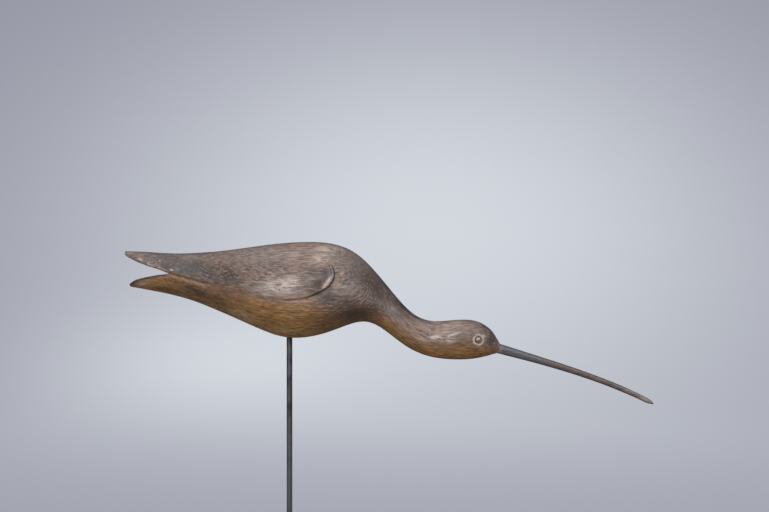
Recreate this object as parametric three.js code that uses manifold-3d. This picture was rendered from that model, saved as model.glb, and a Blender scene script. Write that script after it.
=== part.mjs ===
// A carved shorebird decoy: a curlew in its running pose, head low and bill reaching forward.
// The bird is one carved block with relief wings and a tail split from the wing tips. The long
// bill and the two eyes are let into the head, and the bird sits on a steel stick in a low base.
//
// Millimetres, +Z up. The bird faces +X and its left side is +Y. The origin is the middle of the
// base's underside, on the stick's axis. The carving is laid out as a carver does it, with a side
// pattern and a top pattern, in shares of the bird's own length and width.

import * as THREE from "three";
import Module from "manifold-3d";
import { mergeVertices } from "three/addons/utils/BufferGeometryUtils.js";

const wasm = await Module();
wasm.setup();

// Sizes of the bird
const BODY_LENGTH = 416; // wing tips to the root of the bill
const BODY_WIDTH = 94; // across the flanks, without the wings
const WING_RELIEF = 3; // how far the folded wing stands out of the flank at its shoulder
const BILL_REACH = 173.8; // from the face to the tip of the bill, measured level
const BILL_DEPTH = 10.9; // at its root, top to bottom
const BILL_WIDTH = 9; // at its root, side to side
const TENON_DIAMETER = 6; // the round end of the bill that goes into the head
const TENON_LENGTH = 22;
const EYE_DIAMETER = 7.4;
const EYE_DOME = 2.4; // how far the middle of the eye rises above its edge
const EYE_SHANK = 3; // the part of the eye inside its socket

// Sizes of the stand
const STICK_DIAMETER = 6.35;
const STICK_SHOWING = 230; // between the base and the belly
const STICK_IN_BELLY = 38;
const BASE_LENGTH = 150;
const BASE_WIDTH = 110;
const BASE_THICKNESS = 10;
const BASE_CORNER = 8; // corner radius, seen from above
const BASE_EDGE = 1.2; // the chamfer round its faces
const SOCKET_FLOOR = 3; // metal left under the stick's socket

const CLEARANCE = 0.3; // left all round where one piece sits in or against another

// The side pattern, in shares of the body length: along from the wing tips, up from the belly
const STICK_SHARE = 0.4376; // where the stick stands
const BACK_LINE = [
  [0, 0.2305], [0.05, 0.229], [0.1, 0.226], [0.166, 0.226], [0.247, 0.232], [0.343, 0.244],
  [0.44, 0.255], [0.495, 0.257], [0.553, 0.2515], [0.602, 0.2345], [0.65, 0.1975],
  [0.698, 0.142], [0.747, 0.0855], [0.779, 0.0585], [0.811, 0.0455], [0.86, 0.0445],
  [0.908, 0.0475], [0.94, 0.0435], [0.968, 0.03], [0.987, 0.0115], [1, -0.0097], [1.01, -0.026],
];
const BELLY_LINE = [
  [0, 0.1385], [0.037, 0.132], [0.101, 0.119], [0.166, 0.1025], [0.23, 0.079], [0.295, 0.0505],
  [0.36, 0.0215], [0.41, 0.004], [0.46, -0.0015], [0.505, 0.004], [0.553, 0.018],
  [0.602, 0.036], [0.634, 0.0425], [0.666, 0.036], [0.715, 0.003], [0.763, -0.03],
  [0.81, -0.05], [0.86, -0.0582], [0.908, -0.0592], [0.957, -0.0528], [0.985, -0.0455],
  [1.01, -0.0385],
];
const WIDEST_LINE = [
  [0, 0.181], [0.118, 0.173], [0.2, 0.15], [0.3, 0.127], [0.4, 0.113], [0.5, 0.11],
  [0.58, 0.119], [0.63, 0.127], [0.67, 0.107], [0.715, 0.062], [0.779, 0.011],
  [0.844, -0.006], [0.94, -0.006], [0.985, -0.018], [1.01, -0.032],
];

// The top pattern: along as above, half width as a share of half the body width
const PLAN_LINE = [
  [0, 0.11], [0.041, 0.25], [0.118, 0.46], [0.245, 0.75], [0.36, 0.93], [0.47, 1],
  [0.535, 0.98], [0.58, 0.9], [0.62, 0.785], [0.67, 0.59], [0.72, 0.425], [0.762, 0.345],
  [0.8, 0.318], [0.85, 0.35], [0.9, 0.378], [0.94, 0.35], [0.972, 0.265], [1, 0.135],
  [1.01, 0.08],
];
const TAIL_PLAN_LINE = [[0, 0.2], [0.03, 0.3], [0.07, 0.38], [0.118, 0.46]];
const SECTION_FULLNESS = 2.25; // the exponent of the rounded sections: 2 is an ellipse

// The fork between the wing tips above and the tail below
const WING_TIP_UNDERSIDE = [
  [0, 0.2205], [0.01, 0.2137], [0.034, 0.2022], [0.058, 0.1935], [0.082, 0.1863],
  [0.106, 0.178], [0.117, 0.1735],
];
const TAIL_TOP_SIDE = [
  [0.117, 0.1727], [0.082, 0.1672], [0.05, 0.1605], [0.026, 0.1543], [0.0085, 0.1445],
];
const TAIL_TIP_SHARE = 0.0085;

// The carved edge of the folded wing, from the fork forward, round the shoulder and up the back
const WING_EDGE = [
  [0.117, 0.173], [0.175, 0.157], [0.23, 0.143], [0.3, 0.126], [0.386, 0.106], [0.426, 0.1],
  [0.471, 0.1035], [0.509, 0.1155], [0.541, 0.135], [0.5565, 0.156], [0.5595, 0.172],
  [0.552, 0.195], [0.534, 0.2175],
];
// How much of the relief that edge has, along the body: it sinks between tail and shoulder
const EDGE_STRENGTH = [
  [0, 0.05], [0.06, 0.2], [0.118, 0.5], [0.19, 0.7], [0.27, 0.35], [0.36, 0.35], [0.43, 0.85],
  [0.5, 1], [0.57, 1],
];
// The relief fades over the back, between these angles round the section from its widest line
const FADE_FROM_ANGLE = THREE.MathUtils.degToRad(24);
const FADE_TO_ANGLE = THREE.MathUtils.degToRad(52);

// Where the eyes and the bill sit on the side pattern, and how far the face under the bill leans
const EYE_SHARES = [0.945, -0.006];
const BILL_ROOT_SHARES = [1, -0.03];
const FACE_ANGLE = THREE.MathUtils.degToRad(23);

// The bill's line as a curve with two handles and its tip, in shares of its reach from the root
const BILL_LINE = [[0.4, -0.114], [0.7, -0.201], [1, -0.357]];
const BILL_TAPER = [
  [0, 1], [0.04, 0.965], [0.12, 0.89], [0.2, 0.815], [0.35, 0.715], [0.5, 0.65], [0.66, 0.59],
  [0.81, 0.56], [0.93, 0.515], [0.97, 0.43], [1, 0.12],
];

// How finely the free forms are cut into facets
const BODY_STATIONS = 74;
const BODY_SEGMENTS = 36;
const BILL_STATIONS = 26;
const BILL_SEGMENTS = 14;
const ROUND_SEGMENTS = 32;
const EYE_SEGMENTS = 20;
const EYE_DOME_STEPS = 6;

const bellyHeight = BASE_THICKNESS + STICK_SHOWING;
const stickBottom = SOCKET_FLOOR + CLEARANCE;

// A smooth line through [along, value] points, as a function: the natural cubic spline
function smoothLine(points) {
  const last = points.length - 1;
  const steps = points.slice(1).map(([x], i) => x - points[i][0]);
  const slopes = points.slice(1).map(([, y], i) => (y - points[i][1]) / steps[i]);
  const bends = new Array(last + 1).fill(0); // the second derivative at each point
  const carried = new Array(last + 1).fill(0);
  for (let i = 1; i < last; i++) {
    const pivot = 2 * (steps[i - 1] + steps[i]) - steps[i - 1] * carried[i - 1];
    carried[i] = steps[i] / pivot;
    bends[i] = (6 * (slopes[i] - slopes[i - 1]) - steps[i - 1] * bends[i - 1]) / pivot;
  }
  for (let i = last - 1; i > 0; i--) bends[i] -= carried[i] * bends[i + 1];
  return (x) => {
    let i = 0;
    while (i < last - 1 && x > points[i + 1][0]) i++;
    const right = (x - points[i][0]) / steps[i];
    const left = 1 - right;
    const straight = left * points[i][1] + right * points[i + 1][1];
    const bow = (left ** 3 - left) * bends[i] + (right ** 3 - right) * bends[i + 1];
    return straight + bow * steps[i] ** 2 / 6;
  };
}

const back = smoothLine(BACK_LINE);
const belly = smoothLine(BELLY_LINE);
const widest = smoothLine(WIDEST_LINE);
const plan = smoothLine(PLAN_LINE);
const tailPlan = smoothLine(TAIL_PLAN_LINE);
const edgeStrength = smoothLine(EDGE_STRENGTH);
const tailSplitsAt = TAIL_PLAN_LINE.at(-1)[0];
const patternEnd = BACK_LINE.at(-1)[0];

const lengthwise = (along) => (along - STICK_SHARE) * BODY_LENGTH;
const upward = (up) => bellyHeight + up * BODY_LENGTH;

// The section at a place along the body: the height of its widest line, and its half sizes
function sectionAt(along, lower) {
  const middle = upward(widest(along));
  return {
    middle,
    halfWidth: (lower && along < tailSplitsAt ? tailPlan(along) : plan(along)) * BODY_WIDTH / 2,
    halfDepth: lower ? middle - upward(belly(along)) : upward(back(along)) - middle,
  };
}

// A point of the bird's skin: along the body, then round the section from its widest line on the
// left side (0) up over the back (a quarter turn). The swell moves it outwards.
function skinPoint(along, around, swell = 0) {
  const { middle, halfWidth, halfDepth } = sectionAt(along, Math.sin(around) < 0);
  const rounded = (x) => Math.sign(x) * Math.abs(x) ** (2 / SECTION_FULLNESS);
  const y = (halfWidth + swell) * rounded(Math.cos(around));
  const z = middle + (halfDepth + swell) * rounded(Math.sin(around));
  return new THREE.Vector3(lengthwise(along), y, z);
}

// The way the skin faces at a point of it
function skinNormal(along, around) {
  const small = 1e-3;
  const forward = skinPoint(along + small, around).sub(skinPoint(along - small, around));
  const upwards = skinPoint(along, around + small).sub(skinPoint(along, around - small));
  return upwards.cross(forward).normalize();
}

// How far the folded wing swells out of the body: full along its lower edge, less over the back
function wingSwell(along, around) {
  const height = Math.asin(Math.sin(around)); // the angle up from the widest line, either side
  const fade = 1 - THREE.MathUtils.smoothstep(height, FADE_FROM_ANGLE, FADE_TO_ANGLE);
  return WING_RELIEF * edgeStrength(along) * fade;
}

// Skins a row of rings, each a list of as many points, and closes both ends with fans
function skinRings(rings) {
  const sides = rings[0].length;
  const positions = rings.flat();
  const faces = [];
  const next = (j) => (j + 1) % sides;
  for (let i = 0; i < rings.length - 1; i++) {
    for (let j = 0; j < sides; j++) {
      const [a, b] = [i * sides + j, i * sides + next(j)];
      faces.push(a, b, b + sides, a, b + sides, a + sides);
    }
  }
  const middleOf = (ring) => ring.reduce((sum, p) => sum.add(p), new THREE.Vector3()).divideScalar(sides);
  const lastRing = (rings.length - 1) * sides;
  const firstMiddle = positions.push(middleOf(rings[0])) - 1;
  const lastMiddle = positions.push(middleOf(rings.at(-1))) - 1;
  for (let j = 0; j < sides; j++) {
    faces.push(firstMiddle, next(j), j);
    faces.push(lastMiddle, lastRing + j, lastRing + next(j));
  }
  return new THREE.BufferGeometry().setFromPoints(positions).setIndex(faces);
}

// A closed geometry as a manifold-3d solid
function solid(geometry) {
  const bare = new THREE.BufferGeometry().setAttribute("position", geometry.getAttribute("position"));
  bare.setIndex(geometry.index);
  const merged = mergeVertices(bare, 1e-4);
  const mesh = new wasm.Mesh({
    numProp: 3,
    vertProperties: Float32Array.from(merged.attributes.position.array),
    triVerts: Uint32Array.from(merged.index.array),
  });
  return new wasm.Manifold(mesh);
}

// A manifold-3d solid as a geometry again
function geometryOf(shape) {
  const mesh = shape.getMesh();
  const geometry = new THREE.BufferGeometry();
  geometry.setAttribute("position", new THREE.BufferAttribute(mesh.vertProperties, 3));
  geometry.setIndex(new THREE.BufferAttribute(mesh.triVerts, 1));
  return geometry;
}

// The whole bird's skin as one solid, swollen or not, with its stations closer at both ends
function birdSolid(swell) {
  const rings = [];
  for (let i = 0; i <= BODY_STATIONS; i++) {
    const even = i / BODY_STATIONS;
    const crowded = (1 - Math.cos(Math.PI * even)) / 2;
    const along = THREE.MathUtils.lerp(even, crowded, 0.55) * patternEnd;
    const ring = [];
    for (let j = 0; j < BODY_SEGMENTS; j++) {
      const around = 2 * Math.PI * j / BODY_SEGMENTS;
      ring.push(skinPoint(along, around, swell(along, around)));
    }
    rings.push(ring);
  }
  return solid(skinRings(rings));
}

// An outline on the side pattern as a slab that runs right through the bird
function slabThrough(outline) {
  const corners = outline.map(([along, up]) => new THREE.Vector2(lengthwise(along), upward(up)));
  const depth = 2 * BODY_WIDTH;
  const slab = new THREE.ExtrudeGeometry(new THREE.Shape(corners), { depth, bevelEnabled: false });
  return solid(slab.rotateX(Math.PI / 2).translate(0, depth / 2, 0));
}

// Points of the smooth curve through an outline's points
function curved(points, count) {
  const curve = new THREE.SplineCurve(points.map(([along, up]) => new THREE.Vector2(along, up)));
  return curve.getSpacedPoints(count).map(({ x, y }) => [x, y]);
}

// A round peg from a point along a direction
function peg(start, direction, length, diameter) {
  const shape = new THREE.CylinderGeometry(diameter / 2, diameter / 2, length, ROUND_SEGMENTS);
  const turn = new THREE.Quaternion().setFromUnitVectors(new THREE.Vector3(0, 1, 0), direction);
  const middle = start.clone().addScaledVector(direction, length / 2);
  return solid(shape.applyQuaternion(turn).translate(...middle.toArray()));
}

// The bill's line from its root in the face, and the way that it and the face point
const billRoot = new THREE.Vector3(lengthwise(BILL_ROOT_SHARES[0]), 0, upward(BILL_ROOT_SHARES[1]));
const billLine = new THREE.CubicBezierCurve3(billRoot, ...BILL_LINE.map(([along, up]) => (
  new THREE.Vector3(along, 0, up).multiplyScalar(BILL_REACH).add(billRoot)
)));
const billOutwards = billLine.getTangent(0);
const intoHead = billOutwards.clone().negate();
const faceOutwards = new THREE.Vector3(Math.cos(FACE_ANGLE), 0, -Math.sin(FACE_ANGLE));

// Where an eye sits: the middle of its socket's mouth on the head, and the way it faces
function eyePlace(onLeft) {
  const [along, up] = EYE_SHARES;
  const { middle, halfDepth } = sectionAt(along, up < widest(along));
  const height = (upward(up) - middle) / halfDepth;
  const angle = Math.sign(height) * Math.asin(Math.abs(height) ** (SECTION_FULLNESS / 2));
  const around = onLeft ? angle : Math.PI - angle;
  return { mouth: skinPoint(along, around), outwards: skinNormal(along, around) };
}
const leftEye = eyePlace(true);
const rightEye = eyePlace(false);

// The socket of an eye, from well outside the head to the clearance under its shank
function eyeSocket({ mouth, outwards }) {
  const start = mouth.clone().addScaledVector(outwards, EYE_DIAMETER);
  const length = EYE_DIAMETER + EYE_SHANK + CLEARANCE;
  return peg(start, outwards.clone().negate(), length, EYE_DIAMETER + 2 * CLEARANCE);
}

// The carved bird: body, neck and head in one block
function carvedBird() {
  const aboveBack = 0.3;
  const behindTail = -0.05;
  const wingOutline = [
    ...curved(WING_EDGE, 60), [0.45, aboveBack], [behindTail, aboveBack], [behindTail, 0.2],
  ];
  const forkOutline = [
    ...curved(WING_TIP_UNDERSIDE, 14), ...curved(TAIL_TOP_SIDE, 14),
    [TAIL_TIP_SHARE, 0.1], [behindTail, 0.1], [behindTail, WING_TIP_UNDERSIDE[0][1]],
  ];
  const wings = birdSolid(wingSwell).intersect(slabThrough(wingOutline));
  const tenonMouth = billRoot.clone().addScaledVector(billOutwards, BILL_DEPTH);
  const tenonDepth = BILL_DEPTH + TENON_LENGTH + CLEARANCE;
  const underBelly = new THREE.Vector3(0, 0, bellyHeight - STICK_DIAMETER);
  const stickDepth = STICK_DIAMETER + STICK_IN_BELLY + CLEARANCE;
  const cuts = [
    slabThrough(forkOutline),
    peg(billRoot, faceOutwards, BODY_WIDTH, BODY_WIDTH),
    peg(tenonMouth, intoHead, tenonDepth, TENON_DIAMETER + 2 * CLEARANCE),
    peg(underBelly, new THREE.Vector3(0, 0, 1), stickDepth, STICK_DIAMETER + 2 * CLEARANCE),
    eyeSocket(leftEye),
    eyeSocket(rightEye),
  ];
  const uncut = birdSolid(() => 0).add(wings);
  return geometryOf(cuts.reduce((bird, cut) => bird.subtract(cut), uncut));
}

// The bill: an oval that tapers along its line, with a round tenon behind it for the head
function bill() {
  const taper = smoothLine(BILL_TAPER);
  const ringAt = (centre, forward, size) => {
    const above = new THREE.Vector3(-forward.z, 0, forward.x);
    const ring = [];
    for (let j = 0; j < BILL_SEGMENTS; j++) {
      const around = 2 * Math.PI * j / BILL_SEGMENTS;
      const point = centre.clone().addScaledVector(above, Math.sin(around) * size * BILL_DEPTH / 2);
      point.y = Math.cos(around) * size * BILL_WIDTH / 2;
      ring.push(point);
    }
    return ring;
  };
  const rings = [ringAt(billRoot.clone().addScaledVector(intoHead, BILL_DEPTH), billOutwards, 1)];
  for (let i = 0; i <= BILL_STATIONS; i++) {
    const t = 1 - (1 - i / BILL_STATIONS) ** 1.25;
    const centre = billLine.getPoint(t);
    const reached = (centre.x - billRoot.x) / BILL_REACH;
    rings.push(ringAt(centre, billLine.getTangent(t), taper(reached)));
  }
  const seat = billRoot.clone().addScaledVector(faceOutwards, CLEARANCE);
  const behindSeat = peg(seat, faceOutwards.clone().negate(), BODY_WIDTH, BODY_WIDTH);
  const tenonStart = billRoot.clone().addScaledVector(billOutwards, TENON_DIAMETER / 3);
  const tenon = peg(tenonStart, intoHead, TENON_DIAMETER / 3 + TENON_LENGTH, TENON_DIAMETER);
  return geometryOf(solid(skinRings(rings)).subtract(behindSeat).add(tenon));
}

// An eye: a low dome on a round shank, turned about its own axis and set into its socket
function eye({ mouth, outwards }) {
  const radius = EYE_DIAMETER / 2;
  const domeRadius = (radius ** 2 + EYE_DOME ** 2) / (2 * EYE_DOME);
  const domeAngle = Math.asin(radius / domeRadius);
  const profile = [new THREE.Vector2(0, -EYE_SHANK), new THREE.Vector2(radius, -EYE_SHANK)];
  for (let i = 0; i < EYE_DOME_STEPS; i++) {
    const angle = domeAngle * (1 - i / EYE_DOME_STEPS);
    const height = EYE_DOME - domeRadius * (1 - Math.cos(angle));
    profile.push(new THREE.Vector2(domeRadius * Math.sin(angle), height));
  }
  profile.push(new THREE.Vector2(0, EYE_DOME));
  const turn = new THREE.Quaternion().setFromUnitVectors(new THREE.Vector3(0, 1, 0), outwards);
  const lathe = new THREE.LatheGeometry(profile, EYE_SEGMENTS);
  return lathe.applyQuaternion(turn).translate(...mouth.toArray());
}

// The stick: a plain round rod from the base's socket up into the belly
function stick() {
  const length = bellyHeight + STICK_IN_BELLY - stickBottom;
  const rod = new THREE.CylinderGeometry(STICK_DIAMETER / 2, STICK_DIAMETER / 2, length, ROUND_SEGMENTS);
  return rod.rotateX(Math.PI / 2).translate(0, 0, stickBottom + length / 2);
}

// The base: a low plate with round corners and chamfered edges, and a socket for the stick
function base() {
  const x = BASE_LENGTH / 2 - BASE_CORNER;
  const y = BASE_WIDTH / 2 - BASE_CORNER;
  const radius = BASE_CORNER - BASE_EDGE;
  const outline = new THREE.Shape();
  outline.absarc(x, y, radius, 0, Math.PI / 2);
  outline.absarc(-x, y, radius, Math.PI / 2, Math.PI);
  outline.absarc(-x, -y, radius, Math.PI, 1.5 * Math.PI);
  outline.absarc(x, -y, radius, 1.5 * Math.PI, 2 * Math.PI);
  const plate = new THREE.ExtrudeGeometry(outline, {
    depth: BASE_THICKNESS - 2 * BASE_EDGE,
    bevelThickness: BASE_EDGE,
    bevelSize: BASE_EDGE,
    bevelSegments: 1,
    curveSegments: 6,
  }).translate(0, 0, BASE_EDGE);
  const socketBottom = new THREE.Vector3(0, 0, SOCKET_FLOOR);
  const diameter = STICK_DIAMETER + 2 * CLEARANCE;
  const socket = peg(socketBottom, new THREE.Vector3(0, 0, 1), BASE_THICKNESS, diameter);
  return geometryOf(solid(plate).subtract(socket));
}

const weatheredWood = new THREE.MeshStandardMaterial({ color: 0x6b5343, roughness: 0.6 });
const billPaint = new THREE.MeshStandardMaterial({ color: 0x4a4746, roughness: 0.55 });
const darkGlass = new THREE.MeshStandardMaterial({ color: 0x2b2723, roughness: 0.15 });
const darkSteel = new THREE.MeshStandardMaterial({ color: 0x3d3e42, roughness: 0.45, metalness: 0.8 });

const decoy = new THREE.Group();
for (const [name, geometry, material] of [
  ["carved_bird", carvedBird(), weatheredWood],
  ["bill", bill(), billPaint],
  ["eye_left", eye(leftEye), darkGlass],
  ["eye_right", eye(rightEye), darkGlass],
  ["stick", stick(), darkSteel],
  ["base", base(), darkSteel],
]) {
  const piece = new THREE.Mesh(geometry, material);
  piece.name = name;
  decoy.add(piece);
}

export default decoy;
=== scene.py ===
# %% [markdown]
# A carved curlew on its steel stick
#
# The real object is a working decoy: one block of softwood cut to the bird's shape, painted, and
# worn down by a century of handling. This notebook dresses the measured model of it. The frame
# gives every piece its place, and the cells below make the fine surfaces and the finishes.

import math
from types import SimpleNamespace

import bmesh
import bpy
import numpy as np
from mathutils import Matrix, Vector, noise


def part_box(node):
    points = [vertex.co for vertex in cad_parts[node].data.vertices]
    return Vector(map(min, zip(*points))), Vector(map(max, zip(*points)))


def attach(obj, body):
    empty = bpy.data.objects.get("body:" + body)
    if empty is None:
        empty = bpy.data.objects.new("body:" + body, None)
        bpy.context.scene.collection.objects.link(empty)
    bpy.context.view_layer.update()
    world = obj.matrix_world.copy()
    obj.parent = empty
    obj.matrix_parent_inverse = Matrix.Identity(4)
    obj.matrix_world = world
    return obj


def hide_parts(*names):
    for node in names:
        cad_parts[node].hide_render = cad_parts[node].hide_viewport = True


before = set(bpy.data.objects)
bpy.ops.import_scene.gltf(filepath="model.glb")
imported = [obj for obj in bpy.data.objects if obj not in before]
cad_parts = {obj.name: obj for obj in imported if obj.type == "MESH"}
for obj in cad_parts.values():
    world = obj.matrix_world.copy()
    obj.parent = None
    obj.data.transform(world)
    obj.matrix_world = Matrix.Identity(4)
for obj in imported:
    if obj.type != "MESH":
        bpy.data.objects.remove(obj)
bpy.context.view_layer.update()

# %% [markdown]
# The photograph was taken level with the bird's back, from its right side. A camera is three
# things: where it stands, where it looks and how long its lens is. The place was found by laying
# the model's outline over the picture, and the lens follows from how wide the picture is at the
# bird.

# %% Camera
MM = 0.001

base_low, base_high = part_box("base")
stick_low, stick_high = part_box("stick")
STICK_SHOWING = 230 * MM
belly_height = base_high.z + STICK_SHOWING

CAMERA_DISTANCE = 2600 * MM
CAMERA_ALONG = 106.4 * MM
CAMERA_ABOVE_BELLY = 91.06 * MM
PICTURE_WIDTH = 861.3 * MM  # how much the picture takes in at the bird
SENSOR = 36  # in millimetres, as Blender counts it

camera = bpy.data.objects.new("camera", bpy.data.cameras.new("camera"))
camera.data.sensor_width = SENSOR
camera.data.lens = SENSOR * CAMERA_DISTANCE / PICTURE_WIDTH
camera.location = (CAMERA_ALONG, -CAMERA_DISTANCE, belly_height + CAMERA_ABOVE_BELLY)
camera.rotation_euler = (math.radians(90), 0, 0)
bpy.context.scene.collection.objects.link(camera)
bpy.context.scene.camera = camera
bpy.context.scene.view_settings.view_transform = "Standard"
print("the lens is", round(camera.data.lens, 1), "mm")

# %% [markdown]
# A carver draws two patterns on the block, one from the side and one from above, and rounds the
# corners between them. The same lines are kept here as a few points each, with a smooth curve
# through them. Along runs from the wing tips to the face and up from the belly, both as shares
# of the body's length.

# %% The carver's patterns
BODY_LENGTH = 416 * MM
BODY_WIDTH = 94 * MM
STICK_SHARE = 0.4376
SECTION_FULLNESS = 2.25

BACK_LINE = [
    (0, 0.232), (0.05, 0.23), (0.1, 0.2266), (0.166, 0.2262), (0.247, 0.232), (0.343, 0.244),
    (0.44, 0.255), (0.495, 0.257), (0.553, 0.2515), (0.602, 0.2345), (0.65, 0.1975),
    (0.698, 0.142), (0.747, 0.0855), (0.779, 0.0585), (0.811, 0.0455), (0.86, 0.0445),
    (0.908, 0.0475), (0.94, 0.0435), (0.968, 0.03), (0.987, 0.0115), (1, -0.0097), (1.01, -0.026),
]
BELLY_LINE = [
    (0, 0.1385), (0.037, 0.132), (0.101, 0.119), (0.166, 0.1025), (0.23, 0.079), (0.295, 0.0505),
    (0.36, 0.0215), (0.41, 0.004), (0.46, -0.0015), (0.505, 0.004), (0.553, 0.018),
    (0.602, 0.036), (0.634, 0.0425), (0.666, 0.036), (0.715, 0.003), (0.763, -0.03),
    (0.81, -0.05), (0.86, -0.0582), (0.908, -0.0592), (0.957, -0.0528), (0.985, -0.0455),
    (1.01, -0.0385),
]
WIDEST_LINE = [
    (0, 0.181), (0.118, 0.173), (0.2, 0.15), (0.3, 0.127), (0.4, 0.113), (0.5, 0.11),
    (0.58, 0.119), (0.63, 0.127), (0.67, 0.107), (0.715, 0.062), (0.779, 0.011),
    (0.844, -0.006), (0.94, -0.006), (0.985, -0.018), (1.01, -0.032),
]
PLAN_LINE = [
    (0, 0.11), (0.041, 0.25), (0.118, 0.46), (0.245, 0.75), (0.36, 0.93), (0.47, 1),
    (0.535, 0.98), (0.58, 0.9), (0.62, 0.785), (0.67, 0.59), (0.72, 0.425), (0.762, 0.345),
    (0.8, 0.318), (0.85, 0.35), (0.9, 0.378), (0.94, 0.35), (0.972, 0.265), (1, 0.135),
    (1.01, 0.08),
]
TAIL_PLAN_LINE = [(0, 0.2), (0.03, 0.3), (0.07, 0.38), (0.118, 0.46)]


def smooth_line(points):
    """The natural cubic spline through (along, value) points, for a number or a whole array"""
    places, values = np.array(points, float).T
    steps = np.diff(places)
    slopes = np.diff(values) / steps
    rows = np.eye(len(places))
    wanted = np.zeros(len(places))
    for i in range(1, len(places) - 1):
        rows[i, i - 1:i + 2] = steps[i - 1], 2 * (steps[i - 1] + steps[i]), steps[i]
        wanted[i] = 6 * (slopes[i] - slopes[i - 1])
    bends = np.linalg.solve(rows, wanted)

    def line(at):
        i = np.clip(np.searchsorted(places, at) - 1, 0, len(steps) - 1)
        right = (at - places[i]) / steps[i]
        left = 1 - right
        bow = (left ** 3 - left) * bends[i] + (right ** 3 - right) * bends[i + 1]
        return left * values[i] + right * values[i + 1] + bow * steps[i] ** 2 / 6

    return line


back = smooth_line(BACK_LINE)
belly = smooth_line(BELLY_LINE)
widest = smooth_line(WIDEST_LINE)
plan = smooth_line(PLAN_LINE)
tail_plan = smooth_line(TAIL_PLAN_LINE)
tail_splits_at = TAIL_PLAN_LINE[-1][0]
pattern_end = BACK_LINE[-1][0]


def lengthwise(along):
    return (along - STICK_SHARE) * BODY_LENGTH


def upward(up):
    return belly_height + up * BODY_LENGTH


def section(along, lower):
    """At a place along the body: the height of its widest line, and its half width and depth"""
    middle = upward(widest(along))
    on_tail = lower & (along < tail_splits_at)
    half_width = np.where(on_tail, tail_plan(along), plan(along)) * BODY_WIDTH / 2
    half_depth = np.where(lower, middle - upward(belly(along)), upward(back(along)) - middle)
    return middle, half_width, half_depth


print("the body is", round(float(np.max(plan(np.linspace(0, 1, 200)))) * BODY_WIDTH / MM), "mm wide")

# %% [markdown]
# The block starts as a plain cylinder with many rings. Each ring is pushed out to the section
# that the two patterns give there, and the face is sawn flat where the bill will sit. A sculpt
# would also do, but this keeps the shape tied to the carver's own lines.

# %% Rough out the block
SIDES = 96
RINGS = 210
FACE_ANGLE = math.radians(23)
BILL_ROOT = Vector((lengthwise(1), 0, upward(-0.03)))
face_outwards = Vector((math.cos(FACE_ANGLE), 0, -math.sin(FACE_ANGLE)))


def skin_point(along, around):
    """A point of the skin: along the body, then round the section from its left side over the back"""
    middle, half_width, half_depth = section(along, np.sin(around) < 0)
    across = np.sign(np.cos(around)) * np.abs(np.cos(around)) ** (2 / SECTION_FULLNESS)
    height = np.sign(np.sin(around)) * np.abs(np.sin(around)) ** (2 / SECTION_FULLNESS)
    return np.stack([lengthwise(along), half_width * across, middle + half_depth * height], -1)


def positions(vertices):
    return np.array([v.co for v in vertices], float)


def place(vertices, points):
    for vertex, point in zip(vertices, points):
        vertex.co = point


def ringed_cylinder(sides, rings):
    """A cylinder of radius and height one with rings round it, and the places of its points"""
    bm = bmesh.new()
    bmesh.ops.create_cone(
        bm, cap_ends=True, cap_tris=False, segments=sides, radius1=1, radius2=1, depth=1,
    )
    lengthways = [e for e in bm.edges if abs(e.verts[0].co.z - e.verts[1].co.z) > 0.5]
    bmesh.ops.subdivide_edges(bm, edges=lengthways, cuts=rings, use_grid_fill=True)
    return bm, positions(bm.verts)


def sawn(bm, at, towards):
    """Saws off what lies beyond a plane and closes the cut"""
    cut = bmesh.ops.bisect_plane(
        bm, geom=bm.verts[:] + bm.edges[:] + bm.faces[:], plane_co=at, plane_no=towards,
        clear_outer=True,
    )
    rim = [e for e in cut["geom_cut"] if isinstance(e, bmesh.types.BMEdge)]
    bmesh.ops.edgeloop_fill(bm, edges=rim)
    bmesh.ops.recalc_face_normals(bm, faces=bm.faces)
    return bm


def mesh_object(name, bm):
    mesh = bpy.data.meshes.new(name)
    bm.to_mesh(mesh)
    bm.free()
    made = bpy.data.objects.new(name, mesh)
    bpy.context.scene.collection.objects.link(made)
    return made


def roughed_out():
    bm, points = ringed_cylinder(SIDES, RINGS)
    along = (points[:, 2] + 0.5) * pattern_end
    around = np.arctan2(points[:, 1], points[:, 0])
    place(bm.verts, skin_point(along, around))
    return sawn(bm, BILL_ROOT, face_outwards)


bird = mesh_object("bird", roughed_out())
print("the block has", len(bird.data.polygons), "faces")

# %% [markdown]
# A saw cut parts the wing tips from the tail. Its outline is drawn from the side and run right
# through the block, then taken away with a Boolean. After that a voxel remesh gives the whole
# carving one even skin, and rounds the saw's sharp corners a little, as wear does. It also
# closes the last thin end of the cut, so that end is sawn once more.

# %% Saw the fork and even out the skin
WING_TIP_UNDERSIDE = [
    (0, 0.2225), (0.01, 0.2147), (0.034, 0.2018), (0.058, 0.1923), (0.082, 0.1851),
    (0.106, 0.1768), (0.1175, 0.1725),
]
TAIL_TOP_SIDE = [
    (0.1175, 0.1715), (0.106, 0.1702), (0.082, 0.1674), (0.05, 0.1613), (0.026, 0.155),
    (0.0085, 0.1445),
]
FORK_END = [(0.099, 0.179), (0.1092, 0.1751), (0.1175, 0.1727), (0.1092, 0.1711), (0.099, 0.1695)]
BEHIND_TAIL = -0.05
BELOW_FORK = 0.1
FORK_POINTS = 30
SKIN_GRAIN = 1.5 * MM  # the size of a face of the evened skin


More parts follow.
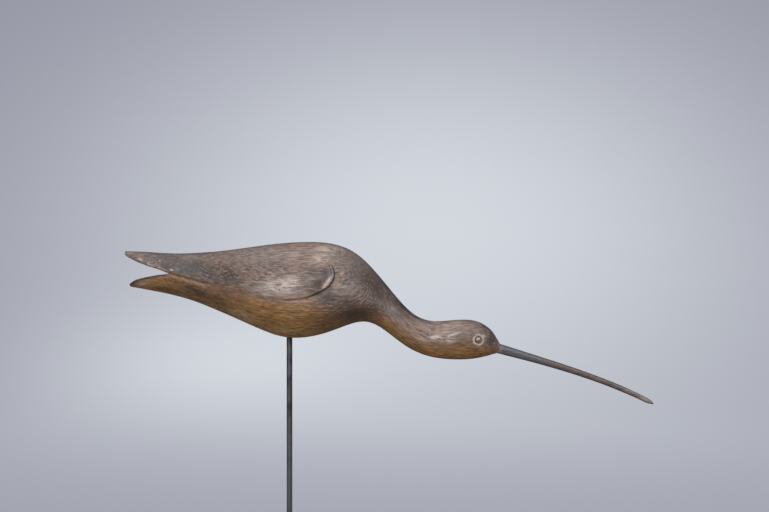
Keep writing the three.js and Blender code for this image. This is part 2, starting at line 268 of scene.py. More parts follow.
def through(points, count):
    """Evenly spaced points of the smooth curve through an outline's points"""
    steps_between = 24
    points = np.array(points, float)
    before = np.vstack([points[:1], points[:-2]])
    after = np.vstack([points[2:], points[-1:]])
    start, end = points[:-1], points[1:]
    leave, arrive = (end - before) / 2, (after - start) / 2
    cubed = 2 * (start - end) + leave + arrive
    squared = 3 * (end - start) - 2 * leave - arrive
    fine = [
        cubed * share ** 3 + squared * share ** 2 + leave * share + start
        for share in np.linspace(0, 1, steps_between, endpoint=False)
    ]
    fine = np.vstack([np.stack(fine, 1).reshape(-1, 2), points[-1:]])
    walked = np.concatenate([[0], np.cumsum(np.linalg.norm(np.diff(fine, axis=0), axis=1))])
    stops = np.linspace(0, walked[-1], count)
    return np.stack([np.interp(stops, walked, fine[:, k]) for k in (0, 1)], 1)


def slab_through(name, outline):
    bm = bmesh.new()
    corners = [bm.verts.new((lengthwise(a), -BODY_WIDTH, upward(u))) for a, u in outline]
    side = bm.faces.new(corners)
    run = bmesh.ops.extrude_face_region(bm, geom=[side])
    moved = [v for v in run["geom"] if isinstance(v, bmesh.types.BMVert)]
    bmesh.ops.translate(bm, verts=moved, vec=(0, 2 * BODY_WIDTH, 0))
    bmesh.ops.recalc_face_normals(bm, faces=bm.faces)
    return mesh_object(name, bm)


def apply_modifiers(piece):
    shown = bpy.context.evaluated_depsgraph_get()
    mesh = bpy.data.meshes.new_from_object(piece.evaluated_get(shown))
    piece.modifiers.clear()
    piece.data = mesh


def combine(piece, other, operation):
    """Cuts a second closed shape from a piece or joins it on, and takes the second away"""
    boolean = piece.modifiers.new("combine", "BOOLEAN")
    boolean.operation = operation
    boolean.solver = "EXACT"
    boolean.object = other
    apply_modifiers(piece)
    bpy.data.objects.remove(other)


fork = slab_through("fork", [
    *through(WING_TIP_UNDERSIDE, FORK_POINTS), *through(TAIL_TOP_SIDE, FORK_POINTS),
    (TAIL_TOP_SIDE[-1][0], BELOW_FORK), (BEHIND_TAIL, BELOW_FORK),
    (BEHIND_TAIL, WING_TIP_UNDERSIDE[0][1]),
])
combine(bird, fork, "DIFFERENCE")
remesh = bird.modifiers.new("even", "REMESH")
remesh.mode = "VOXEL"
remesh.voxel_size = SKIN_GRAIN
apply_modifiers(bird)
combine(bird, slab_through("fork_end", FORK_END), "DIFFERENCE")
print("the evened skin has", len(bird.data.polygons), "faces")

# %% [markdown]
# The folded wing is low relief: a rounded shoulder that stands about three millimetres proud,
# with a knife line round its edge. To carve it, every point of the skin has to know how far it
# lies inside or outside the wing's edge, seen from the side.

# %% Measure the wing's edge
WING_EDGE = [
    (0.117, 0.173), (0.175, 0.157), (0.23, 0.143), (0.3, 0.126), (0.386, 0.108), (0.426, 0.1025),
    (0.471, 0.1055), (0.509, 0.117), (0.541, 0.1355), (0.5565, 0.156), (0.5595, 0.172),
    (0.552, 0.195), (0.534, 0.2175),
]
ROUND_THE_BACK = [(0.45, 0.3), (BEHIND_TAIL, 0.3), (BEHIND_TAIL, 0.2)]  # closes the wing's outline
EDGE_POINTS = 110


def side_places(shares):
    return np.array([(lengthwise(along), upward(up)) for along, up in shares])


wing_edge = side_places(through(WING_EDGE, EDGE_POINTS))
wing_outline = np.vstack([wing_edge, side_places(ROUND_THE_BACK)])


def inside_wing(points):
    """How far each point lies inside the wing's edge, and less than nothing outside it"""
    side_view = points[:, [0, 2]]
    nearest = np.full(len(points), 1.0)
    for start, end in zip(wing_edge[:-1], wing_edge[1:]):
        run = end - start
        share = np.clip((side_view - start) @ run / (run @ run), 0, 1)
        away = side_view - start - share[:, None] * run
        nearest = np.minimum(nearest, np.linalg.norm(away, axis=1))
    within = np.zeros(len(points), bool)
    for start, end in zip(wing_outline, np.roll(wing_outline, -1, axis=0)):
        level = (start[1] > side_view[:, 1]) != (end[1] > side_view[:, 1])
        rise = end[1] - start[1] if end[1] != start[1] else 1
        meets = start[0] + (side_view[:, 1] - start[1]) * (end[0] - start[0]) / rise
        within ^= level & (side_view[:, 0] < meets)
    return np.where(within, nearest, -nearest)


edge_length = np.linalg.norm(np.diff(wing_edge, axis=0), axis=1).sum()
print("the wing's edge is", round(edge_length / MM), "mm long")

# %% [markdown]
# The eyes are glass beads let into the head. Their sockets sit where the side pattern puts them,
# and a bead looks straight out of the skin there, so its direction comes from two short steps
# along the skin.

# %% Find the eyes
EYE_SHARES = (0.945, -0.006)
EYE_DIAMETER = 7.4 * MM
EYE_DOME = 2.4 * MM
EYE_SHANK = 3 * MM


def eye_place(on_left):
    """Where an eye's middle lies on the skin, and the way it looks"""
    along, up = EYE_SHARES
    middle, _, half_depth = section(along, np.bool_(up < widest(along)))
    height = float((upward(up) - middle) / half_depth)
    angle = math.copysign(math.asin(abs(height) ** (SECTION_FULLNESS / 2)), height)
    around = angle if on_left else math.pi - angle
    small = 1e-3
    forward = Vector(skin_point(along + small, around) - skin_point(along - small, around))
    upwards = Vector(skin_point(along, around + small) - skin_point(along, around - small))
    return Vector(skin_point(along, around)), upwards.cross(forward).normalized()


eyes = {"eye_left": eye_place(True), "eye_right": eye_place(False)}


def from_eyes(points):
    """How far each point is from each eye's middle"""
    return [np.linalg.norm(points - np.array(middle), axis=1) for middle, _ in eyes.values()]


print("the eyes look", {name: tuple(round(v, 2) for v in way) for name, (_, way) in eyes.items()})

# %% [markdown]
# Small dents and strokes are what a hand feels first: the thumb-sized hollow at the wing's
# shoulder, three shallow arcs on the wing, a few pits and a row of knife ticks near the tail.
# They were found in the photograph, so each is written as it is seen there, as a soft oval:
# its middle across and down, its half sizes in pixels, how it is turned and how deep it goes. The
# camera's geometry then puts it on the bird's side, which is a little nearer than its middle.

# %% List the hand marks
PHOTO_ACROSS = 769
PIXEL = PICTURE_WIDTH / PHOTO_ACROSS  # how much one pixel of the photograph takes in at the bird
STICK_ACROSS = 289.5
BELLY_DOWN = 337.3
SIDE_REACH = 0.93 * BODY_WIDTH / 2  # how far out of the bird's middle its side lies, on average
MARK_SHARPNESS = 1.4
MARKS = [
    # across, down, half length, half height (pixels), turn (degrees), depth (mm)
    (318.3, 287.8, 5.4, 3.2, 50, 0.9), (277, 276.9, 7.5, 0.9, 24, 0.3),
    (290, 273.3, 10, 0.9, 5, 0.35), (304.5, 275.4, 7, 0.9, -27, 0.3),
    (340.2, 274.6, 2, 1.6, 0, 0.3), (264.4, 279.6, 1.6, 1.4, 0, 0.35),
    (219.3, 274.5, 1.8, 1.6, 0, 0.35), (222.9, 278.6, 1.5, 1.4, 0, 0.3),
    (216.6, 279.9, 1.4, 1.3, 0, 0.3), (232.8, 278.2, 1.7, 1.5, 0, 0.3),
    (235.5, 282.7, 1.5, 1.7, 0, 0.3), (230.5, 284, 1.3, 1.3, 0, 0.25),
    (205.8, 269, 2.9, 0.6, -28, 0.4), (211, 271.6, 2.4, 0.6, -28, 0.4),
    (206.4, 272.9, 2.4, 0.6, -26, 0.4), (210.7, 274.9, 2, 0.7, -26, 0.4),
    (204.4, 275.9, 3, 0.6, -28, 0.4), (209.6, 278.3, 2.4, 0.7, -26, 0.45),
    (212.6, 268.6, 2, 0.7, -20, 0.3),
]


def on_side(across, down):
    """Along and upward, where a place of the photograph lies on the side of the bird"""
    seen = np.array(((across - STICK_ACROSS) * PIXEL, belly_height + (BELLY_DOWN - down) * PIXEL))
    nearness = plan(seen[0] / BODY_LENGTH + STICK_SHARE) * SIDE_REACH / CAMERA_DISTANCE
    return seen - (seen - (CAMERA_ALONG, camera.location.z)) * nearness


def oval(points, across, down, half_length, half_height, turn, sharpness):
    """One in the middle of a soft oval, and less and less away from it"""
    away = points[:, [0, 2]] - on_side(across, down)
    turned = math.radians(turn)
    run = (away[:, 0] * math.cos(turned) + away[:, 1] * math.sin(turned)) / (half_length * PIXEL)
    rise = (away[:, 1] * math.cos(turned) - away[:, 0] * math.sin(turned)) / (half_height * PIXEL)
    return np.exp(-(run ** 2 + rise ** 2) * sharpness)


def mark_depth(points):
    """How deep the hand marks on the bird's right side go at each point"""
    depth = np.zeros(len(points))
    for *place_and_size, deep in MARKS:
        depth += deep * MM * oval(points, *place_and_size, MARK_SHARPNESS)
    return depth * (points[:, 1] < 0)


print(len(MARKS), "hand marks")

# %% [markdown]
# A hand has polished the wood in some places, and a sheen is painted in there as well. In others
# the paint has a blue cast, has worn to orange or is chipped, or dirt has stayed. Some of the blue
# and dark places are painted shade, and some pale ones low on the belly are painted light. Each
# such place is a soft oval too, found in the photograph and written like the marks, with its
# strength last. They are listed before the carving, because the mesh has to be finer where an oval
# is very thin.

# %% List the worn places
PATCH_SHARPNESS = 0.8
FINE_PATCH = 1.15  # an oval with a half height below this needs a finer mesh (pixels)
FINE_REACH = 1.35  # and so does the skin this far round it (pixels)
PATCHES = {
    # across, down, half length, half height (pixels), turn (degrees), strength
    # polish: wood that a hand has rubbed, with a painted sheen and highlights on it, as on the wing's
    # shoulder, in its hollow, on the neck and on the head
    "polish": [
        (285, 285, 27, 8, 7, 0.92), (278, 283, 10, 3.5, 8, 0.5), (327.3, 282.2, 6, 1.7, 55, 1.25),
        (325.4, 285.4, 3.2, 1.5, 50, 1), (437, 337, 8, 1.4, 2, 1.4), (452.8, 334.6, 6.5, 1.5, 9, 1.1),
        (443, 334, 24, 5, 4, 0.5), (483.5, 336, 2.6, 2.2, 40, 0.9), (290, 253, 42, 8, 2, 0.42),
        (450, 325.5, 22, 4, 3, 0.5), (152.5, 264.3, 17, 1.1, -24, 0.4), (343, 289, 10, 4, 0, 0.5),
        (244, 316, 13, 5, -27, 0.35), (298, 299, 14, 3.5, -3, 0.36), (294, 314, 7, 3.5, 0, 0.3),
        (391, 308, 8.5, 3.8, -38, 0.45), (142, 283.4, 6, 2.4, 15, 0.75), (328, 249.5, 17, 5, -6, 0.75),
        (320, 258, 13, 6, 0, 0.75), (422, 338, 8, 4, -10, 0.6), (447.5, 339.5, 9, 4, -4, 0.95),
        (190, 257.5, 15, 4, -4, 0.4), (327, 266, 6, 4, 0, 0.3),
    ],
    "chip": [
        (171.5, 270, 2.6, 1.3, -8, 1), (159.8, 260.7, 0.9, 0.8, 0, 0.9), (341.2, 273.8, 2, 1.5, 0, 0.8),
        (256.5, 279.5, 0.8, 0.7, 0, 0.9), (140.3, 259.3, 4.6, 1.2, -33, 0.68),
        (247.5, 285, 0.6, 0.6, 0, 0.7), (150.5, 265, 7, 0.9, -24, 0.6), (162, 268.5, 6, 0.9, -27, 0.62),
        (206, 271.2, 2.6, 0.8, -27, 0.6), (207.2, 275.4, 2.4, 0.7, -27, 0.55),
    ],
    # straw: pale bare wood, and on the belly's lower edge a painted light that lifts its shade
    "straw": [
        (149.5, 282.8, 4.5, 2, 0, 0.9), (140, 284.6, 6, 1.2, 12, 0.35), (165, 277.4, 5.5, 1.2, -5, 0.6),
        (140, 256.3, 4, 1.3, -8, 0.35), (305, 308, 9, 4, 0, 0.7), (262, 312, 9, 3, -10, 0.6),
        (285, 315, 8, 3, 10, 0.4), (238, 303, 9, 2.5, -20, 0.5), (385, 319, 6, 1.6, -35, 0.5),
        (375, 318, 5, 1.6, -20, 0.4), (283, 331.5, 20, 4.5, -4, 1.35), (241, 314.5, 13, 5, -27, 1.4),
        (256, 322, 10, 3.5, -25, 0.6), (286, 306, 10, 4, 0, 0.5), (310, 298.5, 9, 3.5, 0, 0.6),
        (150, 283, 9, 4, 0, 0.6), (383, 323, 8, 3, -30, 0.5),
    ],
    # blue: the paint's blue-grey cast, the cool tint of the painted sheen on the neck, and painted
    # shade in the hollow behind the wing's front edge and along the neck's top and the face
    "blue": [
        (186, 270, 21, 6.5, -25, 1), (193, 267.5, 30, 10, -15, 0.95), (324.8, 273, 6.2, 5.2, 50, 1),
        (326, 297.5, 5.5, 4, 20, 0.9), (392, 309, 9, 4, -37, 0.6), (372, 306, 9, 2, -5, 0.4),
        (403, 307.2, 12, 2.7, -43, 0.9), (160, 257, 22, 5, -4, 0.7), (416, 317.2, 8, 1.8, -25, 0.8),
        (350, 268, 16, 14, 0, 0.5), (358, 276, 10, 7, 0, 0.5), (260, 262, 24, 7, 0, 0.3),
        (386, 286.3, 20, 2.8, -53, 0.9), (135.5, 284, 5, 2.4, 12, 0.5), (182, 289, 9, 4, -12, 0.35),
        (198, 274, 8, 4.5, -25, 0.95), (166, 266, 9, 4, -20, 0.8), (484, 326.5, 7, 2.2, -33, 0.5),
        (491.5, 334.5, 7, 2.6, -55, 0.5),
    ],
    "rust": [
        (250, 273.7, 13, 2, -12, 0.9), (320, 260.3, 8.5, 3.2, -34, 1), (342, 274, 3.8, 2.8, 0, 1.1),
        (301, 244.8, 16, 1.6, 0, 0.6), (297.5, 270.5, 4, 2, 0, 0.7), (271, 275.5, 7, 1.6, -5, 0.7),
        (441, 330.5, 9, 3, 0, 0.35), (444.5, 328.8, 5.5, 1.3, 20, 1), (436.8, 332, 6, 1.4, -25, 1),
        (463, 330, 8, 3, 0, 0.4), (198, 283.5, 9, 1.6, -25, 0.85), (185, 278.3, 8, 1.5, -20, 0.7),
        (295, 262, 14, 3, 0, 0.35), (225, 258, 20, 3, 6, 0.15), (354, 304, 14, 2, -4, 0.35),
        (288, 268, 10, 1.4, 6, 0.4), (414, 328, 13, 5, -22, 0.5), (228, 271, 16, 8, -10, 0.4),
        (427, 332.5, 9, 5, -8, 0.42), (290, 298.5, 12, 3.5, -3, 0.75), (246, 282, 12, 3, -8, 0.4),
        (163, 279.5, 9, 3, -10, 0.4),
    ],
    "umber": [
        (382, 321, 14, 4.6, -30, 0.95), (165, 289.3, 8, 1.8, 8, 0.75), (184, 284, 8, 2.2, -15, 0.6),
        (213, 291, 7, 3, -12, 0.55), (160, 280, 8, 1.5, 0, 0.5), (140, 283, 6, 1.2, 12, 0.4),
        (232, 300, 14, 4, -18, 0.35), (268, 320, 14, 3, -20, 0.3), (330, 318, 14, 3, 10, 0.3),
        (450, 351, 22, 2.5, -2, 0.35), (318, 305, 9, 5, 0, 0.85), (233, 289, 12, 5, -12, 0.8),
        (311, 290, 8, 4, -10, 0.6),
    ],
    "knobbly": [
        (226, 273, 16, 9, -12, 1), (243, 268, 14, 6, 0, 0.6), (218, 282, 12, 5, -15, 0.7),
        (262, 286, 14, 4, 0, 0.4), (200, 262, 22, 6, 0, 0.3),
    ],
    # dark: dark paint and dirt, darker knife ticks, and painted shade on the breast, neck and face that
    # turn from the light, in the hollow behind the wing's front edge and along the top and front
    # outline
    "dark": [
        (319.5, 286.5, 5, 2.6, 60, 1.2), (317, 283.5, 6.5, 4.5, 35, 1.25),
        (324.5, 273, 5.4, 4.2, 55, 0.7), (197, 291, 18, 3.6, -24, 1.1), (207, 273, 9, 8, 0, 0.5),
        (205, 294, 40, 8, -20, 0.5), (152, 282, 24, 6, -4, 0.28), (266.4, 274, 2.6, 1.1, 0, 1),
        (355, 313, 27, 8, 8, 1.1), (386, 286, 27, 3.2, -53, 0.9), (377, 289, 26, 8, -55, 0.98),
        (403, 306.8, 14, 2.9, -43, 1.2), (416, 317, 8, 1.7, -25, 0.8), (228, 275, 17, 10, -10, 1.15),
        (246, 290, 10, 5, -10, 0.6), (248, 274, 11, 6, 0, 0.62), (213, 271, 9, 9, -20, 0.8),
        (200, 267, 16, 8, -20, 0.7), (168, 266, 9, 5, -15, 0.52), (311, 286, 9, 8, 20, 0.95),
        (316, 292, 8, 5, 0, 1), (315, 274, 10, 5, 0, 0.66), (330, 299, 9, 4, 0, 0.8),
        (362, 286, 9, 8, -30, 0.4), (458, 330, 18, 4, 4, 0.32), (400, 308, 18, 5, -45, 0.9),
        (320, 305.5, 10, 4, 0, 0.4), (389, 298, 9, 7, -50, 0.9), (368, 280, 12, 10, -45, 0.98),
        (342, 307, 9, 4, 0, 0.7), (355, 275, 10, 7, 0, 0.55), (491, 340, 7, 10, 0, 1.05),
        (486, 336, 9, 6, -45, 0.82), (495.5, 344, 2.6, 7, 0, 0.8), (472, 333.4, 3, 1.4, -10, 0.7),
        (485.5, 332.5, 4.5, 2, -42, 0.8), (476, 324, 12, 3, -25, 0.5), (277, 276.9, 6.5, 0.8, 24, 0.6),
        (290, 273.3, 9, 0.8, 5, 0.6), (304.5, 275.4, 6.5, 0.8, -27, 0.6), (215, 298, 21, 5, -24, 0.8),
        (222, 274, 20, 8, -10, 0.4), (344, 303, 9, 4, 0, 0.4), (326, 322, 14, 7, 12, 0.6),
        (135, 285, 5, 2.5, 10, 0.5), (434, 345, 8, 1.4, -8, 0.4), (163, 289, 22, 3, -12, 0.5),
        (200, 268, 42, 12, -12, 0.44), (462, 341, 15, 5, 0, 0.45), (453, 345, 15, 2.6, 3, 0.5),
        (474, 350, 9, 3, 4, 0.4), (288, 283, 3, 1.2, 10, 0.5), (278, 266, 24, 4, 0, 0.28),
        (446, 346, 8, 4, 0, 0.5), (479, 346.5, 6, 3, 0, 0.5), (222, 290, 16, 4, -14, 0.62),
        (206, 282, 7, 3, -15, 0.5), (416, 345, 8, 4, -20, 0.35), (276, 291, 4, 1, 0, 0.4),
        (226, 294, 18, 4, -18, 0.5), (348, 305, 15, 6, 0, 0.8), (134.5, 282.2, 5.5, 1.3, 30, 1.3),
        (144.5, 278.5, 8, 1.1, 17, 1.2), (158.5, 275.8, 9, 1, 8, 1), (484, 326.5, 7, 2, -33, 0.9),
        (491.5, 334.5, 7, 2.4, -55, 1), (410, 330, 8, 5, -20, 0.25), (180, 254.2, 34, 0.9, 0, 0.5),
        (135, 259.4, 11, 0.8, -27, 0.8), (156, 268.3, 13, 0.8, -20, 0.8),
        (205.8, 269, 2.9, 0.8, -28, 1.5), (211, 271.6, 2.4, 0.8, -28, 1.5),
        (206.4, 272.9, 2.4, 0.8, -26, 1.4), (210.7, 274.9, 2, 1, -26, 1.5),
        (204.4, 275.9, 3, 0.8, -28, 1.5), (209.6, 278.3, 2.4, 0.9, -26, 1.6),
        (212.6, 268.6, 2, 0.9, -20, 1.1), (213.6, 263, 2, 0.8, 0, 0.8),
    ],
}


def patch_strength(points, patches):
    """How worn each point is by one kind of wear: the strongest of its ovals there"""
    total = np.zeros(len(points))
    for *place_and_size, strength in patches:
        total = np.maximum(total, strength * oval(points, *place_and_size, PATCH_SHARPNESS))
    return total


every_patch = [patch for patches in PATCHES.values() for patch in patches]
fine_patches = [
    (across, down, half_length + FINE_REACH, half_height + FINE_REACH, turn, 1)
    for across, down, half_length, half_height, turn, _ in every_patch if half_height < FINE_PATCH
]
print(len(every_patch), "worn places,", len(fine_patches), "of them thin")

# %% [markdown]
# The remesh has left the skin a little off the carver's patterns, so each point has to find its
# way back. The skin is where the section's own measure is one: less lies inside and more outside.
# A step against that measure's slope lands on the skin, and its direction is also the way in
# which relief is added later.

# %% Find the true skin
def ease(value, low, high):
    """0 at low and 1 at high, with soft ends"""
    share = np.clip((value - low) / (high - low), 0, 1)
    return share * share * (3 - 2 * share)


def skin_measure(points):
    """One on the skin, less inside it and more outside it; and the angle up from the widest line"""
    along = points[:, 0] / BODY_LENGTH + STICK_SHARE
    lower = points[:, 2] < upward(widest(along))
    middle, half_width, half_depth = section(along, lower)
    across = (np.abs(points[:, 1]) / half_width) ** SECTION_FULLNESS
    height = (np.abs(points[:, 2] - middle) / half_depth) ** SECTION_FULLNESS
    angle = np.arctan2(np.sqrt(height), np.sqrt(across)) * np.where(lower, -1, 1)
    return (across + height) ** (1 / SECTION_FULLNESS), angle


def slope_of_measure(points):
    small = 0.05 * MM
    steps = np.eye(3) * small
    return np.stack([
        (skin_measure(points + step)[0] - skin_measure(points - step)[0]) / (2 * small)
        for step in steps
    ], 1)


evened, _ = skin_measure(positions(bird.data.vertices))
print("the evened skin measures", round(float(np.median(evened)), 3), "where one is true")

# %% [markdown]
# The relief is a height for every point: out for the wing and for the low ring round each eye, in
# for the knife line, for the hollow behind the wing's front edge and for the eye sockets. A
# sculpted map would do too, but a few bumps and steps along the wing's edge can be measured and
# changed one by one. A knife and a rasp also leave the whole surface a little uneven, and slow
# noise does that.

# %% Work out the relief
EDGE_STRENGTH = smooth_line([
    (0, 0.05), (0.06, 0.2), (0.118, 0.5), (0.19, 0.55), (0.25, 0.28), (0.33, 0.14), (0.39, 0.24),
    (0.44, 0.8), (0.5, 1), (0.57, 1),
])
KNIFE_STRENGTH = smooth_line([
    (0, 0), (0.1, 0), (0.2, 0.12), (0.3, 0), (0.38, 0), (0.416, 0.1), (0.45, 0.12), (0.485, 0.1),
    (0.51, 0.35), (0.54, 1), (0.57, 1),
])
WING_ENDS = 0.57  # both lines stop here
FADE_FROM = math.radians(24)  # up from the widest line, where the relief starts to run out
FADE_TO = math.radians(52)
KNIFE_FADE_TO = math.radians(37)
WING_RELIEF = 3 * MM
SHOULDER_ROUND = 1.5 * MM  # how wide the wing's shoulder is rounded where its edge is strong
REAR_SHOULDER_ROUND = 7 * MM  # and where it is faint
FAINT, STRONG = 0.3, 0.9
KNIFE_DEPTH = 0.7 * MM
KNIFE_WIDTH = 0.5 * MM
DISH_MIDDLE = (42 * MM, belly_height + 67 * MM)  # the hollow behind the wing's front edge
DISH_REACH = 12 * MM
DISH_FROM_EDGE = 5.5 * MM
DISH_WIDTH = 3.4 * MM
DISH_DEPTH = 2.5 * MM
RING_RADIUS = 5.3 * MM  # a low ring stands round each eye
RING_WIDTH = 1.1 * MM
RING_HEIGHT = 0.45 * MM
SOCKET_RADIUS = EYE_DIAMETER / 2 + 0.25 * MM
SOCKET_DEPTH = 2 * MM
SOCKET_RIM = (SOCKET_RADIUS - 0.3 * MM, SOCKET_RADIUS + 0.4 * MM)
BROAD_WAVE = 22 * MM
BROAD_HEIGHT = 0.28 * MM
LONG_STROKES = (0.6, 1, 1)  # the broad waves are drawn out along the bird
SMALL_WAVE = 6 * MM
SMALL_HEIGHT = 0.07 * MM
ELSEWHERE = Vector((7, 3, 5))  # another part of the same noise


def wing_height(points, angle):
    """How far the wing, its knife line and its hollow stand out of the plain skin"""
    along = np.clip(points[:, 0] / BODY_LENGTH + STICK_SHARE, 0, WING_ENDS)
    inside = inside_wing(points)
    strength = EDGE_STRENGTH(along)
    width = REAR_SHOULDER_ROUND + (SHOULDER_ROUND - REAR_SHOULDER_ROUND) * ease(strength, FAINT, STRONG)
    shoulder = strength * (1 - (1 - np.clip(inside / width, 0, 1)) ** 3)
    shoulder *= 1 - ease(angle, FADE_FROM, FADE_TO)
    knife = KNIFE_STRENGTH(along) * np.exp(-((inside + KNIFE_WIDTH) / KNIFE_WIDTH) ** 2)
    knife *= 1 - ease(angle, FADE_FROM, KNIFE_FADE_TO)
    from_dish = np.linalg.norm(points[:, [0, 2]] - DISH_MIDDLE, axis=1) / DISH_REACH
    dish = np.exp(-((inside - DISH_FROM_EDGE) / DISH_WIDTH) ** 2 - from_dish ** 2)
    return WING_RELIEF * shoulder - KNIFE_DEPTH * knife - DISH_DEPTH * dish


def eye_height(points):
    """How far the rings round the eyes stand out, and the sockets lie in"""
    height = np.zeros(len(points))
    for away in from_eyes(points):
        height += RING_HEIGHT * np.exp(-((away - RING_RADIUS) / RING_WIDTH) ** 2)
        height -= SOCKET_DEPTH * (1 - ease(away, *SOCKET_RIM))
    return height


def hand_worked(points):
    """The slow unevenness of a surface shaped by knife and rasp"""
    broad = [noise.noise(Vector(p) / BROAD_WAVE) for p in points * LONG_STROKES]
    small = [noise.noise(Vector(p) / SMALL_WAVE + ELSEWHERE) for p in points]
    return np.array(broad) * BROAD_HEIGHT + np.array(small) * SMALL_HEIGHT


print("the wing stands", WING_RELIEF / MM, "mm proud of the skin")

# %% [markdown]
# Now the skin is divided finer where the knife line, the eyes and the thin marks will be, so that
# they come out crisp. Then it is pulled onto the true skin, and each point moves outwards or
# inwards by its height. Points on the sawn faces are far from the skin and stay where they are.
# Last, the wing tips are drawn out a little.

# %% Carve the relief
KNIFE_MIDDLE = 0.3 * MM
EYE_REACH = 4.5 * MM
FINE_STRENGTH = 0.45
COARSE_REACH = 3.4 * MM
FINEST_REACH = 1.9 * MM
SAWN = (0.2 * MM, 0.6 * MM)  # points that far off the skin lie on a sawn face and are let go
TIP_PULL = 2.3 * MM  # how much further the wing tips reach
TIP_FROM = 160 * MM
fork_height = upward(0.19)


def near_details(points, reach):
    """Which points lie this near to the wing's edge, an eye or a thin mark"""
    low_on_side = skin_measure(points)[1] < FADE_TO
    edge = (np.abs(inside_wing(points) - KNIFE_MIDDLE) < reach) & low_on_side
    eye = np.min(from_eyes(points), axis=0) < EYE_REACH + reach
    thin = (patch_strength(points, fine_patches) > FINE_STRENGTH) & (points[:, 1] < 0)
    return edge | eye | thin


def refine(bm, reach):
    bm.verts.index_update()
    near = near_details(positions(bm.verts), reach)
    picked = [e for e in bm.edges if near[e.verts[0].index] and near[e.verts[1].index]]
    bmesh.ops.subdivide_edges(bm, edges=picked, cuts=1, use_grid_fill=True)


def carved(mesh):
    bm = bmesh.new()
    bm.from_mesh(mesh)
    refine(bm, COARSE_REACH)
    refine(bm, FINEST_REACH)
    points = positions(bm.verts)
    for _ in range(3):  # a step lands close to the skin, and two more land on it
        measure, angle = skin_measure(points)
        slope = slope_of_measure(points)
        steepness = np.linalg.norm(slope, axis=1)
        off = (measure - 1) / steepness
        hold = 1 - ease(np.abs(off), *SAWN)
        outwards = slope / steepness[:, None]
        points -= outwards * (off * hold)[:, None]
    height = wing_height(points, angle) - mark_depth(points) + eye_height(points) + hand_worked(points)
    points += outwards * (hold * height)[:, None]
    on_tip = ease(-points[:, 0], TIP_FROM, -lengthwise(0)) * (points[:, 2] > fork_height)
    points[:, 0] -= TIP_PULL * on_tip
    place(bm.verts, points)
    bmesh.ops.recalc_face_normals(bm, faces=bm.faces)
    bm.to_mesh(mesh)
    bm.free()


carved(bird.data)
print("the carved skin has", len(bird.data.polygons), "faces")

# %% [markdown]
# Two round holes take the stick and the bill. They are drilled after the carving so that their
# rims stay true circles, with the frame's own stick size, the bill's tenon and a small clearance.

# %% Drill the holes
UP = Vector((0, 0, 1))
CLEARANCE = 0.3 * MM
TENON_DIAMETER = 6 * MM
TENON_LENGTH = 22 * MM
BILL_REACH = 173.8 * MM
BILL_LINE = [(0.4, -0.114), (0.7, -0.201), (1, -0.357)]  # as shares of its reach
BIRD_CREASE = 60  # degrees; edges sharper than this stay sharp

bill_handles = [BILL_ROOT] + [BILL_ROOT + Vector((a, 0, u)) * BILL_REACH for a, u in BILL_LINE]
bill_outwards = (bill_handles[1] - bill_handles[0]).normalized()
stick_diameter = stick_high.x - stick_low.x


def round_bar(bm, start, way, length, diameter, sides=64):
    """A round bar from a point along a direction"""
    turn = UP.rotation_difference(way).to_matrix().to_4x4()
    middle = Matrix.Translation(start + way * length / 2)
    bmesh.ops.create_cone(
        bm, cap_ends=True, segments=sides, radius1=diameter / 2, radius2=diameter / 2,
        depth=length, matrix=middle @ turn,
    )


def drills():
    bm = bmesh.new()
    under_belly = Vector((0, 0, belly_height - stick_diameter))
    stick_hole = stick_high.z + CLEARANCE - under_belly.z
    round_bar(bm, under_belly, UP, stick_hole, stick_diameter + CLEARANCE)
    before_face = BILL_ROOT + bill_outwards * TENON_DIAMETER
    tenon_hole = TENON_DIAMETER + TENON_LENGTH + CLEARANCE
    round_bar(bm, before_face, -bill_outwards, tenon_hole, TENON_DIAMETER + CLEARANCE)
    return mesh_object("drills", bm)


def shaded(piece, crease):
    """Smooth shading with sharp edges where the surface bends by more than so many degrees"""
    piece.data.polygons.foreach_set("use_smooth", [True] * len(piece.data.polygons))
    piece.data.set_sharp_from_angle(angle=math.radians(crease))
    return piece


combine(bird, drills(), "DIFFERENCE")
shaded(bird, BIRD_CREASE)
bird.data.calc_loop_triangles()
print("the drilled bird has", len(bird.data.loop_triangles), "triangles")

# %% [markdown]
# Paint, wear and polish follow the carving, so they are stored on the mesh as attributes: how far
# a point lies inside the wing, how far above the line between the dark upper paint and the bare
# warm flank, how near to the back's ridge or to the belly's lowest line, where shade is painted,
# and how far from an eye. The worn places are stored the same way, one attribute for each kind;
# painted sheen, shade and light ride on some of them.

# %% Store where the finishes go
PAINT_LINE = [
    (-0.02, 0.19), (0.05, 0.185), (0.117, 0.174), (0.2, 0.155), (0.28, 0.135), (0.36, 0.115),
    (0.44, 0.095), (0.495, 0.086), (0.535, 0.081), (0.57, 0.079), (0.6, 0.08), (0.63, 0.081),
    (0.66, 0.077), (0.7, 0.054), (0.737, 0.024), (0.79, -0.006), (0.844, -0.014), (0.925, -0.01),
    (0.98, -0.022), (1.01, -0.034),
]
WING_LIMIT = 20  # the stored distances stop here (mm)
PAINT_LIMIT = 40
EYE_LIMIT = 40


def store(mesh, name, values):
    layer = mesh.attributes.new(name, "FLOAT", "POINT")
    layer.data.foreach_set("value", values.astype(np.float32))


